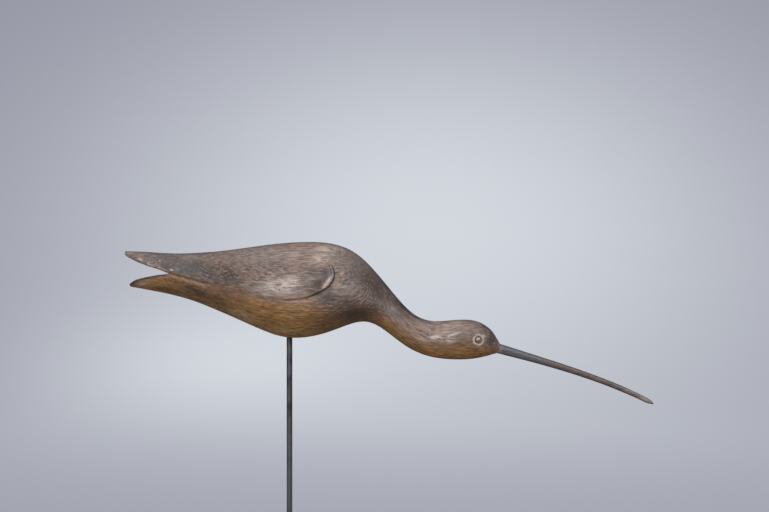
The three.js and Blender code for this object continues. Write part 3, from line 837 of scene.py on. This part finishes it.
def store_finish_places(mesh):
    points = positions(mesh.vertices)
    along = points[:, 0] / BODY_LENGTH + STICK_SHARE
    above_middle = points[:, 2] - upward(widest(along))
    above_line = (points[:, 2] - upward(smooth_line(PAINT_LINE)(along))) / MM
    store(mesh, "inside_wing", np.clip(inside_wing(points) / MM, -WING_LIMIT, WING_LIMIT))
    store(mesh, "above_paint_line", np.clip(above_line, -PAINT_LIMIT, PAINT_LIMIT))
    store(mesh, "above_middle", above_middle)
    store(mesh, "underneath", -above_middle / BODY_LENGTH / (widest(along) - belly(along)))
    store(mesh, "ridge", above_middle / BODY_LENGTH / (back(along) - widest(along)))
    store(mesh, "from_eye", np.minimum(np.min(from_eyes(points), axis=0) / MM, EYE_LIMIT))
    for name, patches in PATCHES.items():
        store(mesh, name, patch_strength(points, patches))


store_finish_places(bird.data)
print("stored", [a.name for a in bird.data.attributes if not a.is_internal])

# %% [markdown]
# A finish is a small sum: a base colour, darker where the grain is, lighter where a hand has
# rubbed. To write such sums plainly, one small class stands for a value on its way through the
# material and turns Python's plus, minus and times into nodes.

# %% Write shader sums as Python
class Flow:
    """A value in a material that Python's own signs can work on"""

    def __init__(self, finish, socket):
        self.finish = finish
        self.socket = socket

    def maths(self, operation, *values, clamp=False):
        settings = {"operation": operation, "use_clamp": clamp}
        return self.finish.node("ShaderNodeMath", settings, dict(enumerate(values)))

    def __add__(self, other):
        return self.maths("ADD", self, other)

    def __sub__(self, other):
        return self.maths("SUBTRACT", self, other)

    def __rsub__(self, other):
        return self.maths("SUBTRACT", other, self)

    def __mul__(self, other):
        return self.maths("MULTIPLY", self, other)

    def __truediv__(self, other):
        return self.maths("DIVIDE", self, other)

    def __pow__(self, other):
        return self.maths("POWER", self, other)

    def __abs__(self):
        return self.maths("ABSOLUTE", self)

    __radd__ = __add__
    __rmul__ = __mul__

    def clamped(self):
        return self.maths("ADD", self, 0, clamp=True)

    def part(self):
        """What is left after the whole number, as for rings that come again and again"""
        return self.maths("FRACT", self)

    def faded(self):
        """One at nothing and less and less beyond, as light falls off round a bright spot"""
        return self.maths("EXPONENT", 0 - self)

    def between(self, low, high):
        """0 at low and 1 at high, with soft ends; low may be the larger"""
        settings = {"interpolation_type": "SMOOTHSTEP"}
        return self.finish.node("ShaderNodeMapRange", settings, {0: self, 1: low, 2: high, 3: 0, 4: 1})

    def band(self, starts, full, fades, ends):
        """1 from full to fades, and 0 before it starts and after it ends"""
        return self.between(starts, full) * self.between(ends, fades)


print("a value can be", [name for name in vars(Flow) if not name.startswith("_")])

# %% [markdown]
# A second class holds one material. One of its methods makes any node, from its kind, its
# settings and what goes into its sockets. The few kinds that come again and again, such as noise
# and mixed colours, get short names of their own. Colours are written as a paint chart gives
# them, because that is how they are read from a picture.

# %% Gather a finish's nodes
class Finish:
    """The nodes of one material"""

    def __init__(self, name):
        self.material = bpy.data.materials.new(name)
        self.material.use_nodes = True
        self.tree = self.material.node_tree
        self.shader = self.tree.nodes["Principled BSDF"]

    def set(self, node, sockets):
        for key, value in sockets.items():
            if isinstance(value, Flow):
                self.tree.links.new(value.socket, node.inputs[key])
            else:
                node.inputs[key].default_value = value

    def node(self, kind, settings=None, sockets=None, output=0):
        node = self.tree.nodes.new(kind)
        for name, value in (settings or {}).items():
            setattr(node, name, value)
        self.set(node, sockets or {})
        return Flow(self, node.outputs[output])

    def object_place(self):
        return self.node("ShaderNodeTexCoord", output=3)

    def attribute(self, name):
        return self.node("ShaderNodeAttribute", {"attribute_name": name}, output=2)

    def split(self, vector):
        split = self.node("ShaderNodeSeparateXYZ", sockets={0: vector})
        return [Flow(self, output) for output in split.socket.node.outputs]

    def joined(self, x, y, z):
        return self.node("ShaderNodeCombineXYZ", sockets={0: x, 1: y, 2: z})

    def noise(self, vector, sizes, detail=3, roughness=0.55, shift=(0, 0, 0)):
        """Noise from 0 to 1 whose features are this many millimetres large along X, Y and Z"""
        scale = tuple(1 / (size * MM) for size in sizes)
        settings = {"operation": "MULTIPLY_ADD"}
        place = self.node("ShaderNodeVectorMath", settings, {0: vector, 1: scale, 2: shift})
        sockets = {"Vector": place, "Scale": 1, "Detail": detail, "Roughness": roughness}
        return self.node("ShaderNodeTexNoise", None, sockets)

    def mix(self, factor, a, b):
        settings = {"data_type": "RGBA", "blend_type": "MIX", "clamp_factor": True}
        return self.node("ShaderNodeMix", settings, {0: factor, 6: a, 7: b}, output=2)

    def layered(self, colour, layers):
        """Lays each colour over the ones before it, as strongly as its mask says"""
        for mask, shade in layers:
            colour = self.mix(mask, colour, shade)
        return colour

    def bump(self, height, distance, strength):
        sockets = {"Height": height, "Distance": distance, "Strength": strength}
        return self.node("ShaderNodeBump", None, sockets)


def paint(red, green, blue):
    """A colour as a paint chart gives it, 0 to 255, turned into the linear light that nodes use"""
    def linear(part):
        share = part / 255
        return share / 12.92 if share <= 0.04045 else ((share + 0.055) / 1.055) ** 2.4
    return (linear(red), linear(green), linear(blue), 1)


def finished(piece, material):
    piece.data.materials.clear()
    piece.data.materials.append(material)


print("a mid grey is", round(paint(128, 128, 128)[0], 3), "in linear light")

# %% [markdown]
# The wood. The block was sawn so that its growth rings lie in sheets roughly along the bird's
# sides. Carving cuts through them, and they come out as contour lines, close together where the
# surface turns away and wide where it faces us. So the rings are worked out in depth: how far a
# point is from the tree's middle, which lay beyond the bird's left side. The grain's noises are
# long and thin, and follow the body's widest line down into the neck.

# %% The wood's patterns
PITH_SIDE = 190 * MM
PITH_ABOVE_BELLY = 13 * MM
RING_SPACING = 1.5 * MM
RING_WANDER = 4 * MM
RING_RIPPLE = 1.6 * MM
BREAST_LEAN = 12.5 * MM  # how much deeper the rings lie from the breast forwards
PAINT_WANDER = 12  # how far the paint's lower edge wanders up and down (mm)


def wood_patterns(finish):
    """The places and noises that the layers of the old paint share; along and above are in mm"""
    at = finish.object_place()
    x, y, z = finish.split(at)
    grain_way = finish.joined(x, y, finish.attribute("above_middle"))
    p = SimpleNamespace(along=x / MM, above=(z - belly_height) / MM)
    p.fibre = finish.noise(grain_way, (12, 2.2, 1.9), detail=4, roughness=0.62)
    p.thread = finish.noise(grain_way, (7.5, 1.4, 1.1), detail=2, shift=(6, 1, 3))
    p.streak = finish.noise(grain_way, (36, 5, 3.6), shift=(5, 1, 2))
    p.mottle = finish.noise(at, (15, 9, 7), detail=4, roughness=0.6, shift=(1, 7, 3))
    p.cloud = finish.noise(at, (50, 30, 24), detail=2, shift=(8, 2, 6))
    p.cell = finish.noise(at, (4.6, 4, 3.6), detail=1, shift=(2, 4, 9))

    wander = finish.noise(at, (70, 30, 30), detail=2, roughness=0.5)
    ripple = finish.noise(at, (16, 5, 5), detail=2, shift=(3, 9, 4))
    out = y - PITH_SIDE
    rise = z - (belly_height + PITH_ABOVE_BELLY)
    depth = (out * out + rise * rise) ** 0.5 + p.along.between(30, 86) * BREAST_LEAN
    depth = depth + (wander - 0.5) * RING_WANDER + (ripple - 0.5) * RING_RIPPLE
    p.rings = (depth / RING_SPACING).part().band(0.25, 0.8, 0.85, 1)

    wavy = (p.mottle - 0.5) * PAINT_WANDER + (p.streak - 0.5) * PAINT_WANDER
    p.above_edge = finish.attribute("above_paint_line") + wavy
    return p


wood = Finish("old_painted_wood")
patterns = wood_patterns(wood)
print("the patterns take", len(wood.tree.nodes), "nodes")

# %% [markdown]
# The colour is built up in the order in which it came about. First come the dark paint of the
# back, the bare warm wood of the flank and a worn strip between them. Then comes each kind of
# wear, where the stored ovals say, with the painted sheen, shade and light that some of them carry.
# The grain breaks all of it up, because paint stays longer in the soft wood than on the hard ridges.

# %% Paint it and wear it
def paint_and_bare_wood(finish, p):
    upper = finish.mix(p.fibre.between(0.3, 0.7), paint(72, 60, 55), paint(144, 124, 112))
    upper = finish.mix(p.mottle.between(0.42, 0.7) * 0.35, upper, paint(150, 130, 117))
    upper = finish.mix(p.cloud.between(0.4, 0.65) * 0.3, upper, paint(112, 96, 92))
    flank = finish.mix(p.fibre.between(0.28, 0.72), paint(90, 58, 26), paint(156, 112, 52))
    flank = finish.mix(p.mottle.between(0.45, 0.68) * 0.5, flank, paint(164, 120, 58))
    flank = finish.mix(p.streak.between(0.5, 0.66) * 0.6, flank, paint(98, 58, 30))
    worn = finish.mix(p.fibre.between(0.28, 0.72), paint(92, 64, 43), paint(148, 112, 78))
    colour = finish.mix(p.above_edge.between(-10, -2), flank, worn)
    return finish.mix(p.above_edge.between(-2, 7), colour, upper)


def polished(finish, p):
    """How much a hand has rubbed the wood and how strong the painted sheen is, in streaks along the
    grain
    """
    streaks = p.mottle * 0.15 + p.streak * 0.2 + p.fibre * 0.3 + p.thread * 0.35
    rubbed_and_sheen = finish.attribute("polish") * streaks.between(0.36, 0.56)
    return rubbed_and_sheen * 0.4 + rubbed_and_sheen.between(0.2, 0.8) * 0.6


def wear(finish, p, polish, blue):
    """The layers of wear, with painted sheen, shade and light among them: each mask with the colour
    that shows there
    """
    umber = finish.attribute("umber") * p.streak.between(0.3, 0.55)
    straw = finish.attribute("straw") * p.fibre.between(0.3, 0.6)
    rust = finish.attribute("rust") * p.fibre.between(0.36, 0.58)
    dark = finish.attribute("dark") * (0.45 + p.fibre * 0.75)
    knobbly = finish.attribute("knobbly")
    return [
        (umber * 0.7, paint(118, 72, 40)),
        # pale bare wood, and on the belly's lower edge painted light
        (straw * 0.7, paint(168, 130, 74)),
        (rust * 0.75, paint(172, 124, 96)),
        # the paint's blue cast, and in places painted shade and the cool tint of a painted sheen
        (blue * 0.78, paint(77, 80, 84)),
        # dark paint and dirt, and in places painted shade
        (dark, paint(52, 37, 28)),
        (p.cell.between(0.5, 0.4) * knobbly * 0.55, paint(68, 47, 38)),
        (p.cell.between(0.53, 0.58) * knobbly * 0.26, paint(160, 132, 114)),
        # painted sheen and highlights, over wood that a hand has rubbed
        (polish * 0.68, paint(208, 191, 180)),
    ]


polish = polished(wood, patterns)
blue = wood.attribute("blue") * patterns.mottle.between(0.25, 0.55)
colour = wood.layered(paint_and_bare_wood(wood, patterns), wear(wood, patterns, polish, blue))
print("with the paint and its wear it takes", len(wood.tree.nodes), "nodes")

# %% [markdown]
# The wood's own grain shows through worn paint. The growth rings are plainest low on the breast
# and at its front, where the paint is gone. Fine dark threads run along the grain everywhere, and
# pale ones too, most of all where the surface has been rubbed.

# %% Bring out the grain
def grain(p, polish, blue):
    """The layers of grain: growth rings, most of all on the breast, and dark and pale threads"""
    low_or_ahead = p.above.between(60, 46) + p.along.between(78, 90) * p.above.between(78, 64)
    on_breast = low_or_ahead.clamped() * p.along.band(36, 52, 98, 112)
    ring_strength = 0.08 + on_breast * (0.35 + p.mottle.between(0.35, 0.6) * 0.65) * 0.6
    on_head = p.along.between(116, 136)
    on_back = (p.above.between(74, 84) + p.along.between(60, 70)).clamped() * (1 - on_head)
    dark_strength = 0.66 - on_back * 0.2 - on_head * 0.28
    pale_strength = 0.16 + p.above_edge.between(-8, 4) * 0.26 + polish * 0.25
    return [
        (p.rings * ring_strength * (1 - p.thread.between(0.45, 0.75) * 0.5), paint(42, 30, 24)),
        (p.thread.between(0.54, 0.7) * dark_strength, paint(50, 37, 30)),
        (p.thread.between(0.44, 0.28) * (1 - blue * 0.7) * pale_strength, paint(184, 162, 146)),
    ]


colour = wood.layered(colour, grain(patterns, polish, blue))
print("with the grain it takes", len(wood.tree.nodes), "nodes")

# %% [markdown]
# Last come the things that lie on top: a pale worn edge under the rear of the wing, partly a
# painted highlight; painted shade in its knife line, under the body and the head and on the back's
# ridge; the pale ring round each eye and the chips.
# The same patterns then make the surface rougher or smoother and give it a very low bump.

# %% Draw the lines and the painted shade
def lines_and_painted_shade(finish, p):
    """The last layers, painted shade among them; inside is the distance in from the wing's edge and
    from_eye from an eye (mm)
    """
    inside = finish.attribute("inside_wing")
    from_eye = finish.attribute("from_eye")
    ledge = inside.band(-4.4, -2.2, -1.6, -0.8) * p.along.between(-80, -110)
    line = inside.band(-1.4, -0.7, -0.3, 0.2) * p.along.between(-20, 8) * p.above.between(84, 74)
    line = line * (p.along.between(20, 36) * 0.75 + p.fibre * 0.25)
    second = inside.band(1.7, 2.3, 2.9, 3.5) * p.along.between(32, 40) * p.above.band(66, 73, 84, 90)
    # painted shade: darker along the body's lowest line, much more under the neck and head, and along
    # the back's top ridge
    below = finish.attribute("underneath").between(0.86, 1)
    painted_shade = below * (0.04 + p.along.between(100, 130) * 0.55)
    painted_shade = painted_shade + finish.attribute("ridge").between(0.955, 1) * 0.45
    eye_ring = from_eye.band(3.7, 4.2, 5.6, 7.9) * p.fibre.between(0.1, 0.7)
    chip = (finish.attribute("chip") + (p.fibre - 0.5) * 0.8).between(0.3, 0.95)
    return [
        # a pale worn edge, partly a painted highlight where the flank's shoulder rounds under the wing
        (ledge * 0.32, paint(176, 134, 98)),
        # painted shade in the knife line, and in a second groove by the wing's front edge
        ((line + second * 0.45).clamped(), paint(48, 32, 27)),
        (painted_shade, paint(48, 38, 28)),
        (eye_ring * 0.85, paint(188, 166, 150)),
        (chip, paint(192, 168, 150)),
    ]


colour = wood.layered(colour, lines_and_painted_shade(wood, patterns))
roughness = 0.62 + (patterns.mottle - 0.5) * 0.3 - polish * 0.28 + patterns.rings * 0.06
grain_height = (1 - patterns.rings * 0.5) * 0.7 + patterns.fibre * 0.7 + patterns.thread * 0.5
wood.set(wood.shader, {
    "Base Color": colour,
    "Roughness": roughness.clamped(),
    "Normal": wood.bump(grain_height, 0.3 * MM, 0.7),
})
finished(bird, wood.material)
print("the whole wood takes", len(wood.tree.nodes), "nodes")

# %% [markdown]
# The bill is a long taper that bends gently down. It starts as a cylinder too: its rings are
# moved along the bill's curve and drawn in by a taper line, and its root is sawn to sit on the
# face. A round tenon runs back into the head. The two are joined by a Boolean, so that they make
# one closed piece.

# %% Make the bill
BILL_DEPTH = 10.9 * MM
BILL_WIDTH = 9 * MM
BILL_TAPER = smooth_line([
    (0, 1), (0.04, 0.965), (0.12, 0.89), (0.2, 0.815), (0.35, 0.715), (0.5, 0.65), (0.66, 0.59),
    (0.81, 0.56), (0.93, 0.515), (0.97, 0.43), (1, 0.12),
])
BILL_SIDES = 40
BILL_RINGS = 180
CROWDING = 1.25  # over one, the rings crowd towards the tip
FACE_GAP = 0.12 * MM
BILL_CREASE = 50


def bill_curve(share):
    """Points of the bill's middle line and the way it runs there, for an array of shares"""
    p = [np.array(handle) for handle in bill_handles]
    t = share[:, None]
    s = 1 - t
    point = p[0] * s ** 3 + 3 * p[1] * s * s * t + 3 * p[2] * s * t * t + p[3] * t ** 3
    run = (p[1] - p[0]) * s * s + 2 * (p[2] - p[1]) * s * t + (p[3] - p[2]) * t * t
    return point, run / np.linalg.norm(run, axis=1)[:, None]


def bill_size(x):
    """The taper at places along X"""
    return BILL_TAPER(np.clip((x - BILL_ROOT.x) / BILL_REACH, 0, 1))


def bill_blade():
    bm, points = ringed_cylinder(BILL_SIDES, BILL_RINGS)
    share = 1 - (1 - np.clip(points[:, 2] + 0.5, 0, 1)) ** CROWDING
    at_root = share < 1e-6
    centre, way = bill_curve(share)
    centre[at_root] -= way[at_root] * BILL_DEPTH
    size = bill_size(centre[:, 0])
    above = np.stack([-way[:, 2], np.zeros(len(way)), way[:, 0]], 1)
    made = centre + above * (points[:, 1] * size * BILL_DEPTH / 2)[:, None]
    made[:, 1] = points[:, 0] * size * BILL_WIDTH / 2
    place(bm.verts, made)
    return sawn(bm, BILL_ROOT + face_outwards * FACE_GAP, -face_outwards)


def bill_tenon():
    bm = bmesh.new()
    start = BILL_ROOT + bill_outwards * TENON_DIAMETER / 3
    round_bar(bm, start, -bill_outwards, TENON_DIAMETER / 3 + TENON_LENGTH, TENON_DIAMETER)
    return bm


long_bill = mesh_object("long_bill", bill_blade())
combine(long_bill, mesh_object("tenon", bill_tenon()), "UNION")
shaded(long_bill, BILL_CREASE)
print("the bill has", len(long_bill.data.polygons), "faces")

# %% [markdown]
# The bill's paint is slate grey by the face and wears through to brown and then to a pale tip,
# with fine scratches along its length. How near a point is to the upper or the lower edge is
# stored first, because both edges are darkened as painted shade.

# %% The bill's worn paint
ROOT_RUB = 6 * MM  # the paint is rubbed pale for so far from the face


def store_bill_sides(mesh):
    """Stores -1 along the bill's upper edge and 1 along its lower edge"""
    points = positions(mesh.vertices)
    middle_line, _ = bill_curve(np.linspace(0, 1, BILL_RINGS))
    middle = np.interp(points[:, 0], middle_line[:, 0], middle_line[:, 2])
    store(mesh, "low_side", (middle - points[:, 2]) / (bill_size(points[:, 0]) * BILL_DEPTH / 2))


def bill_finish():
    finish = Finish("worn_slate_paint")
    at = finish.object_place()
    along = finish.split(at)[0]
    scratch = finish.noise(at, (40, 0.9, 1.1), roughness=0.6)
    mottle = finish.noise(at, (14, 4, 4), shift=(4, 1, 8))
    reach = (along - BILL_ROOT.x) / BILL_REACH + (mottle - 0.5) * 0.3
    slate = finish.mix(scratch.between(0.3, 0.7), paint(66, 66, 70), paint(96, 94, 97))
    brown = finish.mix(scratch.between(0.3, 0.7), paint(66, 55, 47), paint(100, 86, 76))
    pale = finish.mix(scratch.between(0.35, 0.65), paint(88, 77, 70), paint(142, 129, 121))
    low_side = finish.attribute("low_side")
    # painted shade along the bill's lower edge, and less along its upper edge
    painted_shade = low_side.between(0.5, 0.95) * 0.6 + low_side.between(-0.7, -1) * 0.35
    colour = finish.layered(slate, [
        (reach.between(0.15, 0.45), brown),
        (reach.between(0.72, 0.95), pale),
        (along.between(BILL_ROOT.x + ROOT_RUB, BILL_ROOT.x) * 0.5, paint(140, 122, 114)),
        (painted_shade, paint(40, 36, 36)),
    ])
    finish.set(finish.shader, {
        "Base Color": colour,
        "Roughness": (0.45 + (mottle - 0.5) * 0.3).clamped(),
        "Normal": finish.bump(scratch, 0.12 * MM, 0.6),
    })
    return finish.material


store_bill_sides(long_bill.data)
finished(long_bill, bill_finish())
print("the bill's finish is", long_bill.data.materials[0].name)

# %% [markdown]
# Each eye is a bead turned on a lathe: half of its outline is spun round the bead's own axis,
# and the bead is then turned to look out of its socket. It is glass over a brown ground, so it is
# dark and very glossy.

# %% Turn the eyes
DOME_STEPS = 12
EYE_SIDES = 48
BEAD_CREASE = 50


def spun(profile, sides):
    """A profile of (across, height) points, spun once round the upright axis"""
    bm = bmesh.new()
    corners = [bm.verts.new((across, 0, height)) for across, height in profile]
    edges = [bm.edges.new(pair) for pair in zip(corners[:-1], corners[1:])]
    bmesh.ops.spin(
        bm, geom=corners + edges, cent=(0, 0, 0), axis=UP, angle=math.tau, steps=sides,
        use_merge=True,
    )
    bmesh.ops.remove_doubles(bm, verts=bm.verts, dist=1e-6)
    bmesh.ops.recalc_face_normals(bm, faces=bm.faces)
    return bm


def bead(name, middle, outwards):
    radius = EYE_DIAMETER / 2
    dome_radius = (radius ** 2 + EYE_DOME ** 2) / (2 * EYE_DOME)
    dome_angle = math.asin(radius / dome_radius)
    profile = [(0, -EYE_SHANK), (radius, -EYE_SHANK)]
    for i in range(DOME_STEPS + 1):
        angle = dome_angle * (1 - i / DOME_STEPS)
        profile.append((dome_radius * math.sin(angle), EYE_DOME - dome_radius * (1 - math.cos(angle))))
    bm = spun(profile, EYE_SIDES)
    turn = UP.rotation_difference(outwards).to_matrix().to_4x4()
    bmesh.ops.transform(bm, matrix=Matrix.Translation(middle) @ turn, verts=bm.verts)
    return shaded(mesh_object(name, bm), BEAD_CREASE)


def bead_glass():
    finish = Finish("dark_bead_glass")
    cloud = finish.noise(finish.object_place(), (3, 3, 3), detail=2)
    finish.set(finish.shader, {
        "Base Color": finish.mix(cloud.between(0.35, 0.65), paint(90, 78, 62), paint(122, 108, 90)),
        "Roughness": (0.03 + cloud * 0.08).clamped(), "IOR": 1.8,
        "Coat Weight": 1, "Coat Roughness": 0.05, "Coat IOR": 1.8,
    })
    return finish.material


beads = {node: bead("bead_" + node, *eye) for node, eye in eyes.items()}
glass = bead_glass()
for made in beads.values():
    finished(made, glass)
print("the eyes are", list(beads))

# %% [markdown]
# The stand is a plain steel rod in a steel plate. The photograph stops above the plate, so the
# plate is a quiet guess: low, with round corners and softened edges.

# %% Make the stand
ROD_EDGE = 0.4 * MM
PLATE_CORNER = 8 * MM
PLATE_EDGE = 1.2 * MM
STEEL_CREASE = 40
PLATE_RIM = math.radians(60)  # the plate's top and bottom edges bend by more than this


def softened(bm, edges, offset, segments):
    bmesh.ops.bevel(
        bm, geom=edges, offset=offset, affect="EDGES", segments=segments, profile=0.5, material=-1,
    )


def rod():
    bm = bmesh.new()
    round_bar(bm, UP * stick_low.z, UP, stick_high.z - stick_low.z, stick_diameter)
    ends = [e for e in bm.edges if len({round(v.co.z, 6) for v in e.verts}) == 1]
    softened(bm, ends, ROD_EDGE, 3)
    return bm


def plate():
    bm = bmesh.new()
    size = base_high - base_low
    middle = (base_high + base_low) / 2
    bmesh.ops.create_cube(bm, size=1, matrix=Matrix.Translation(middle) @ Matrix.Diagonal((*size, 1)))
    upright = [e for e in bm.edges if abs(e.verts[0].co.z - e.verts[1].co.z) > size.z / 2]
    softened(bm, upright, PLATE_CORNER, 10)
    softened(bm, [e for e in bm.edges if e.calc_face_angle(0) > PLATE_RIM], PLATE_EDGE, 4)
    return bm


def socket_drill():
    bm = bmesh.new()
    bottom = UP * (stick_low.z - CLEARANCE)
    round_bar(bm, bottom, UP, base_high.z, stick_diameter + CLEARANCE)
    return mesh_object("socket_drill", bm)


steel_stick = shaded(mesh_object("steel_stick", rod()), STEEL_CREASE)
steel_base = mesh_object("steel_base", plate())
combine(steel_base, socket_drill(), "DIFFERENCE")
shaded(steel_base, STEEL_CREASE)
print("the plate has", len(steel_base.data.polygons), "faces")

# %% [markdown]
# Old hot-rolled steel is nearly black with a satin face. It is a little blotchy, and a rod that
# was drawn through a die has faint lines along it. The rod's lower end is painted paler, as painted
# light where the lamps reach it less.

# %% The dark steel
# how high the painted light on the rod's lower end reaches
PAINTED_LIGHT_ENDS = 150 * MM


def dark_steel(name, lines, painted_light):
    """Steel whose drawing or rolling lines are this large along X, Y and Z (mm), with painted light on
    its lower end as strong as the last argument says
    """
    finish = Finish(name)
    at = finish.object_place()
    height = finish.split(at)[2]
    drawn = finish.noise(at, lines, roughness=0.6)
    blotch = finish.noise(at, (9, 9, 16), detail=4, roughness=0.6, shift=(3, 5, 1))
    scuff = finish.noise(at, (1.5, 1.5, 2.5), detail=2, shift=(6, 2, 7))
    colour = finish.mix(blotch.between(0.3, 0.7), paint(61, 62, 67), paint(97, 98, 103))
    colour = finish.layered(colour, [
        (scuff.between(0.66, 0.76) * 0.6, paint(150, 146, 142)),
        # painted light: the lower end is made paler, where the lamps reach it less
        (height.between(PAINTED_LIGHT_ENDS, PAINTED_LIGHT_ENDS / 2) * painted_light, paint(112, 113, 120)),
    ])
    finish.set(finish.shader, {
        "Base Color": colour,
        "Metallic": 0.7,
        "Roughness": (0.42 + (blotch - 0.5) * 0.3 + (drawn - 0.5) * 0.15).clamped(),
        "Normal": finish.bump(drawn + scuff * 0.3, 0.05 * MM, 0.5),
    })
    return finish.material


finished(steel_stick, dark_steel("drawn_steel", (0.7, 0.7, 60), painted_light=0.8))
finished(steel_base, dark_steel("plate_steel", (40, 0.8, 3), painted_light=0))
print("the steels are", [piece.data.materials[0].name for piece in (steel_stick, steel_base)])

# %% [markdown]
# The studio is one seamless bowl of pale paper: a flat floor that sweeps up into a wall all
# round, so that no join shows from any side. It is a profile spun round the upright axis. The
# paper glows a little, more in a large spot behind the bird and in a low one at the back. Its
# floor near the stand is left to the lamps, so that the shadow falls on it.

# %% Spread the backdrop
FLOOR_REACH = 2.2
WALL_REACH = 4.9
WALL_HEIGHT = 4.5
SWEEP_STEPS = 16
BOWL_SIDES = 96
BOWL_CREASE = 60
GLOWS = [
    # middle, size and strength
    ((0.213, 2.36, 0.636), (0.936, 1.865, 0.616), 1),
    ((-0.314, 4.974, 0.03), (0.396, 2.154, 0.15), 0.7),
]
LIT_FLOOR_REACH = 1.9
LIT_FLOOR_FULL = 0.76
LIT_FLOOR_BACK = 0.4  # the picture takes in the floor behind this place


def bowl():
    sweep = WALL_REACH - FLOOR_REACH
    profile = [(0, 0)]
    for i in range(SWEEP_STEPS + 1):
        angle = math.pi / 2 * i / SWEEP_STEPS
        profile.append((FLOOR_REACH + sweep * math.sin(angle), sweep * (1 - math.cos(angle))))
    profile.append((WALL_REACH, WALL_HEIGHT))
    bm = spun(profile, BOWL_SIDES)
    bmesh.ops.reverse_faces(bm, faces=bm.faces)
    return bm


def paper():
    finish = Finish("pale_paper")
    x, y, z = finish.split(finish.object_place())
    glow = 0
    for middle, size, strength in GLOWS:
        side = (x - middle[0]) / size[0]
        away = (abs(y) - middle[1]) / size[1]
        rise = (z - middle[2]) / size[2]
        glow = (side * side + away * away + rise * rise).faded() * strength + glow
    shade = finish.mix(glow.clamped(), paint(141, 143, 156), paint(245, 250, 255))
    near = ((x * x + y * y) ** 0.5).between(LIT_FLOOR_REACH, LIT_FLOOR_FULL)
    near = near * y.between(LIT_FLOOR_BACK, 0)
    finish.set(finish.shader, {
        "Base Color": finish.mix(near, paint(70, 71, 74), paint(172, 176, 184)),
        "Emission Color": finish.mix(near, shade, paint(56, 57, 62)),
        "Emission Strength": 1, "Roughness": 0.9, "Specular IOR Level": 0.1,
    })
    return finish.material


backdrop = shaded(mesh_object("backdrop", bowl()), BOWL_CREASE)
finished(backdrop, paper())
backdrop.visible_glossy = False
print("the backdrop is", 2 * WALL_REACH, "m across")

# %% [markdown]
# Three soft lights: a large one high in front of the bird's tail, a small one towards its head
# that puts the spark in the eye, and one from above. A narrow beam from behind draws the outline.
# The air itself gives a little light too.

# %% Light it
BIRD_MIDDLE = Vector((0.1, 0, belly_height + 0.07))


def round_the_bird(side, rise, away):
    """A place so far from the bird, by its angles from the camera's side and from level"""
    side, rise = math.radians(side), math.radians(rise)
    way = Vector((math.cos(rise) * math.sin(side), -math.cos(rise) * math.cos(side), math.sin(rise)))
    return BIRD_MIDDLE + way * away


def lamp(name, kind, at, watts, **settings):
    """A light that looks at the bird"""
    light = bpy.data.lights.new(name, kind)
    light.energy = watts
    for setting, value in settings.items():
        setattr(light, setting, value)
    made = bpy.data.objects.new(name, light)
    made.location = at
    made.rotation_euler = (BIRD_MIDDLE - at).to_track_quat("-Z", "Y").to_euler()
    made.visible_camera = False
    bpy.context.scene.collection.objects.link(made)
    return made


def soft_light(name, at, watts, width, height):
    return lamp(name, "AREA", at, watts, shape="RECTANGLE", size=width, size_y=height)


soft_light("main", round_the_bird(-24, 28, 2.4), 46.5, 3, 2.2)
soft_light("spark", round_the_bird(40, 32, 2.2), 21, 0.9, 0.9)
soft_light("top", round_the_bird(-90, 75, 2.4), 10, 1.6, 1.6)
behind = lamp(
    "behind", "SPOT", round_the_bird(172, 22, 2.4), 90, shadow_soft_size=0.3,
    spot_size=math.radians(25), spot_blend=0.7,
)
behind.visible_glossy = False

world = bpy.data.worlds.new("studio_air")
world.use_nodes = True
air = world.node_tree.nodes["Background"].inputs
air["Color"].default_value = (0.9, 0.94, 1, 1)
air["Strength"].default_value = 0.15
bpy.context.scene.world = world
print("the lights are", [light.name for light in bpy.data.lights])

# %% [markdown]
# Last, every piece is attached to the frame's root body, and the measured piece that it takes the
# place of is hidden.

# %% Attach the pieces
for piece, node in [
    (bird, "carved_bird"), (long_bill, "bill"), (beads["eye_left"], "eye_left"),
    (beads["eye_right"], "eye_right"), (steel_stick, "stick"), (steel_base, "base"),
]:
    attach(piece, "root")
    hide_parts(node)
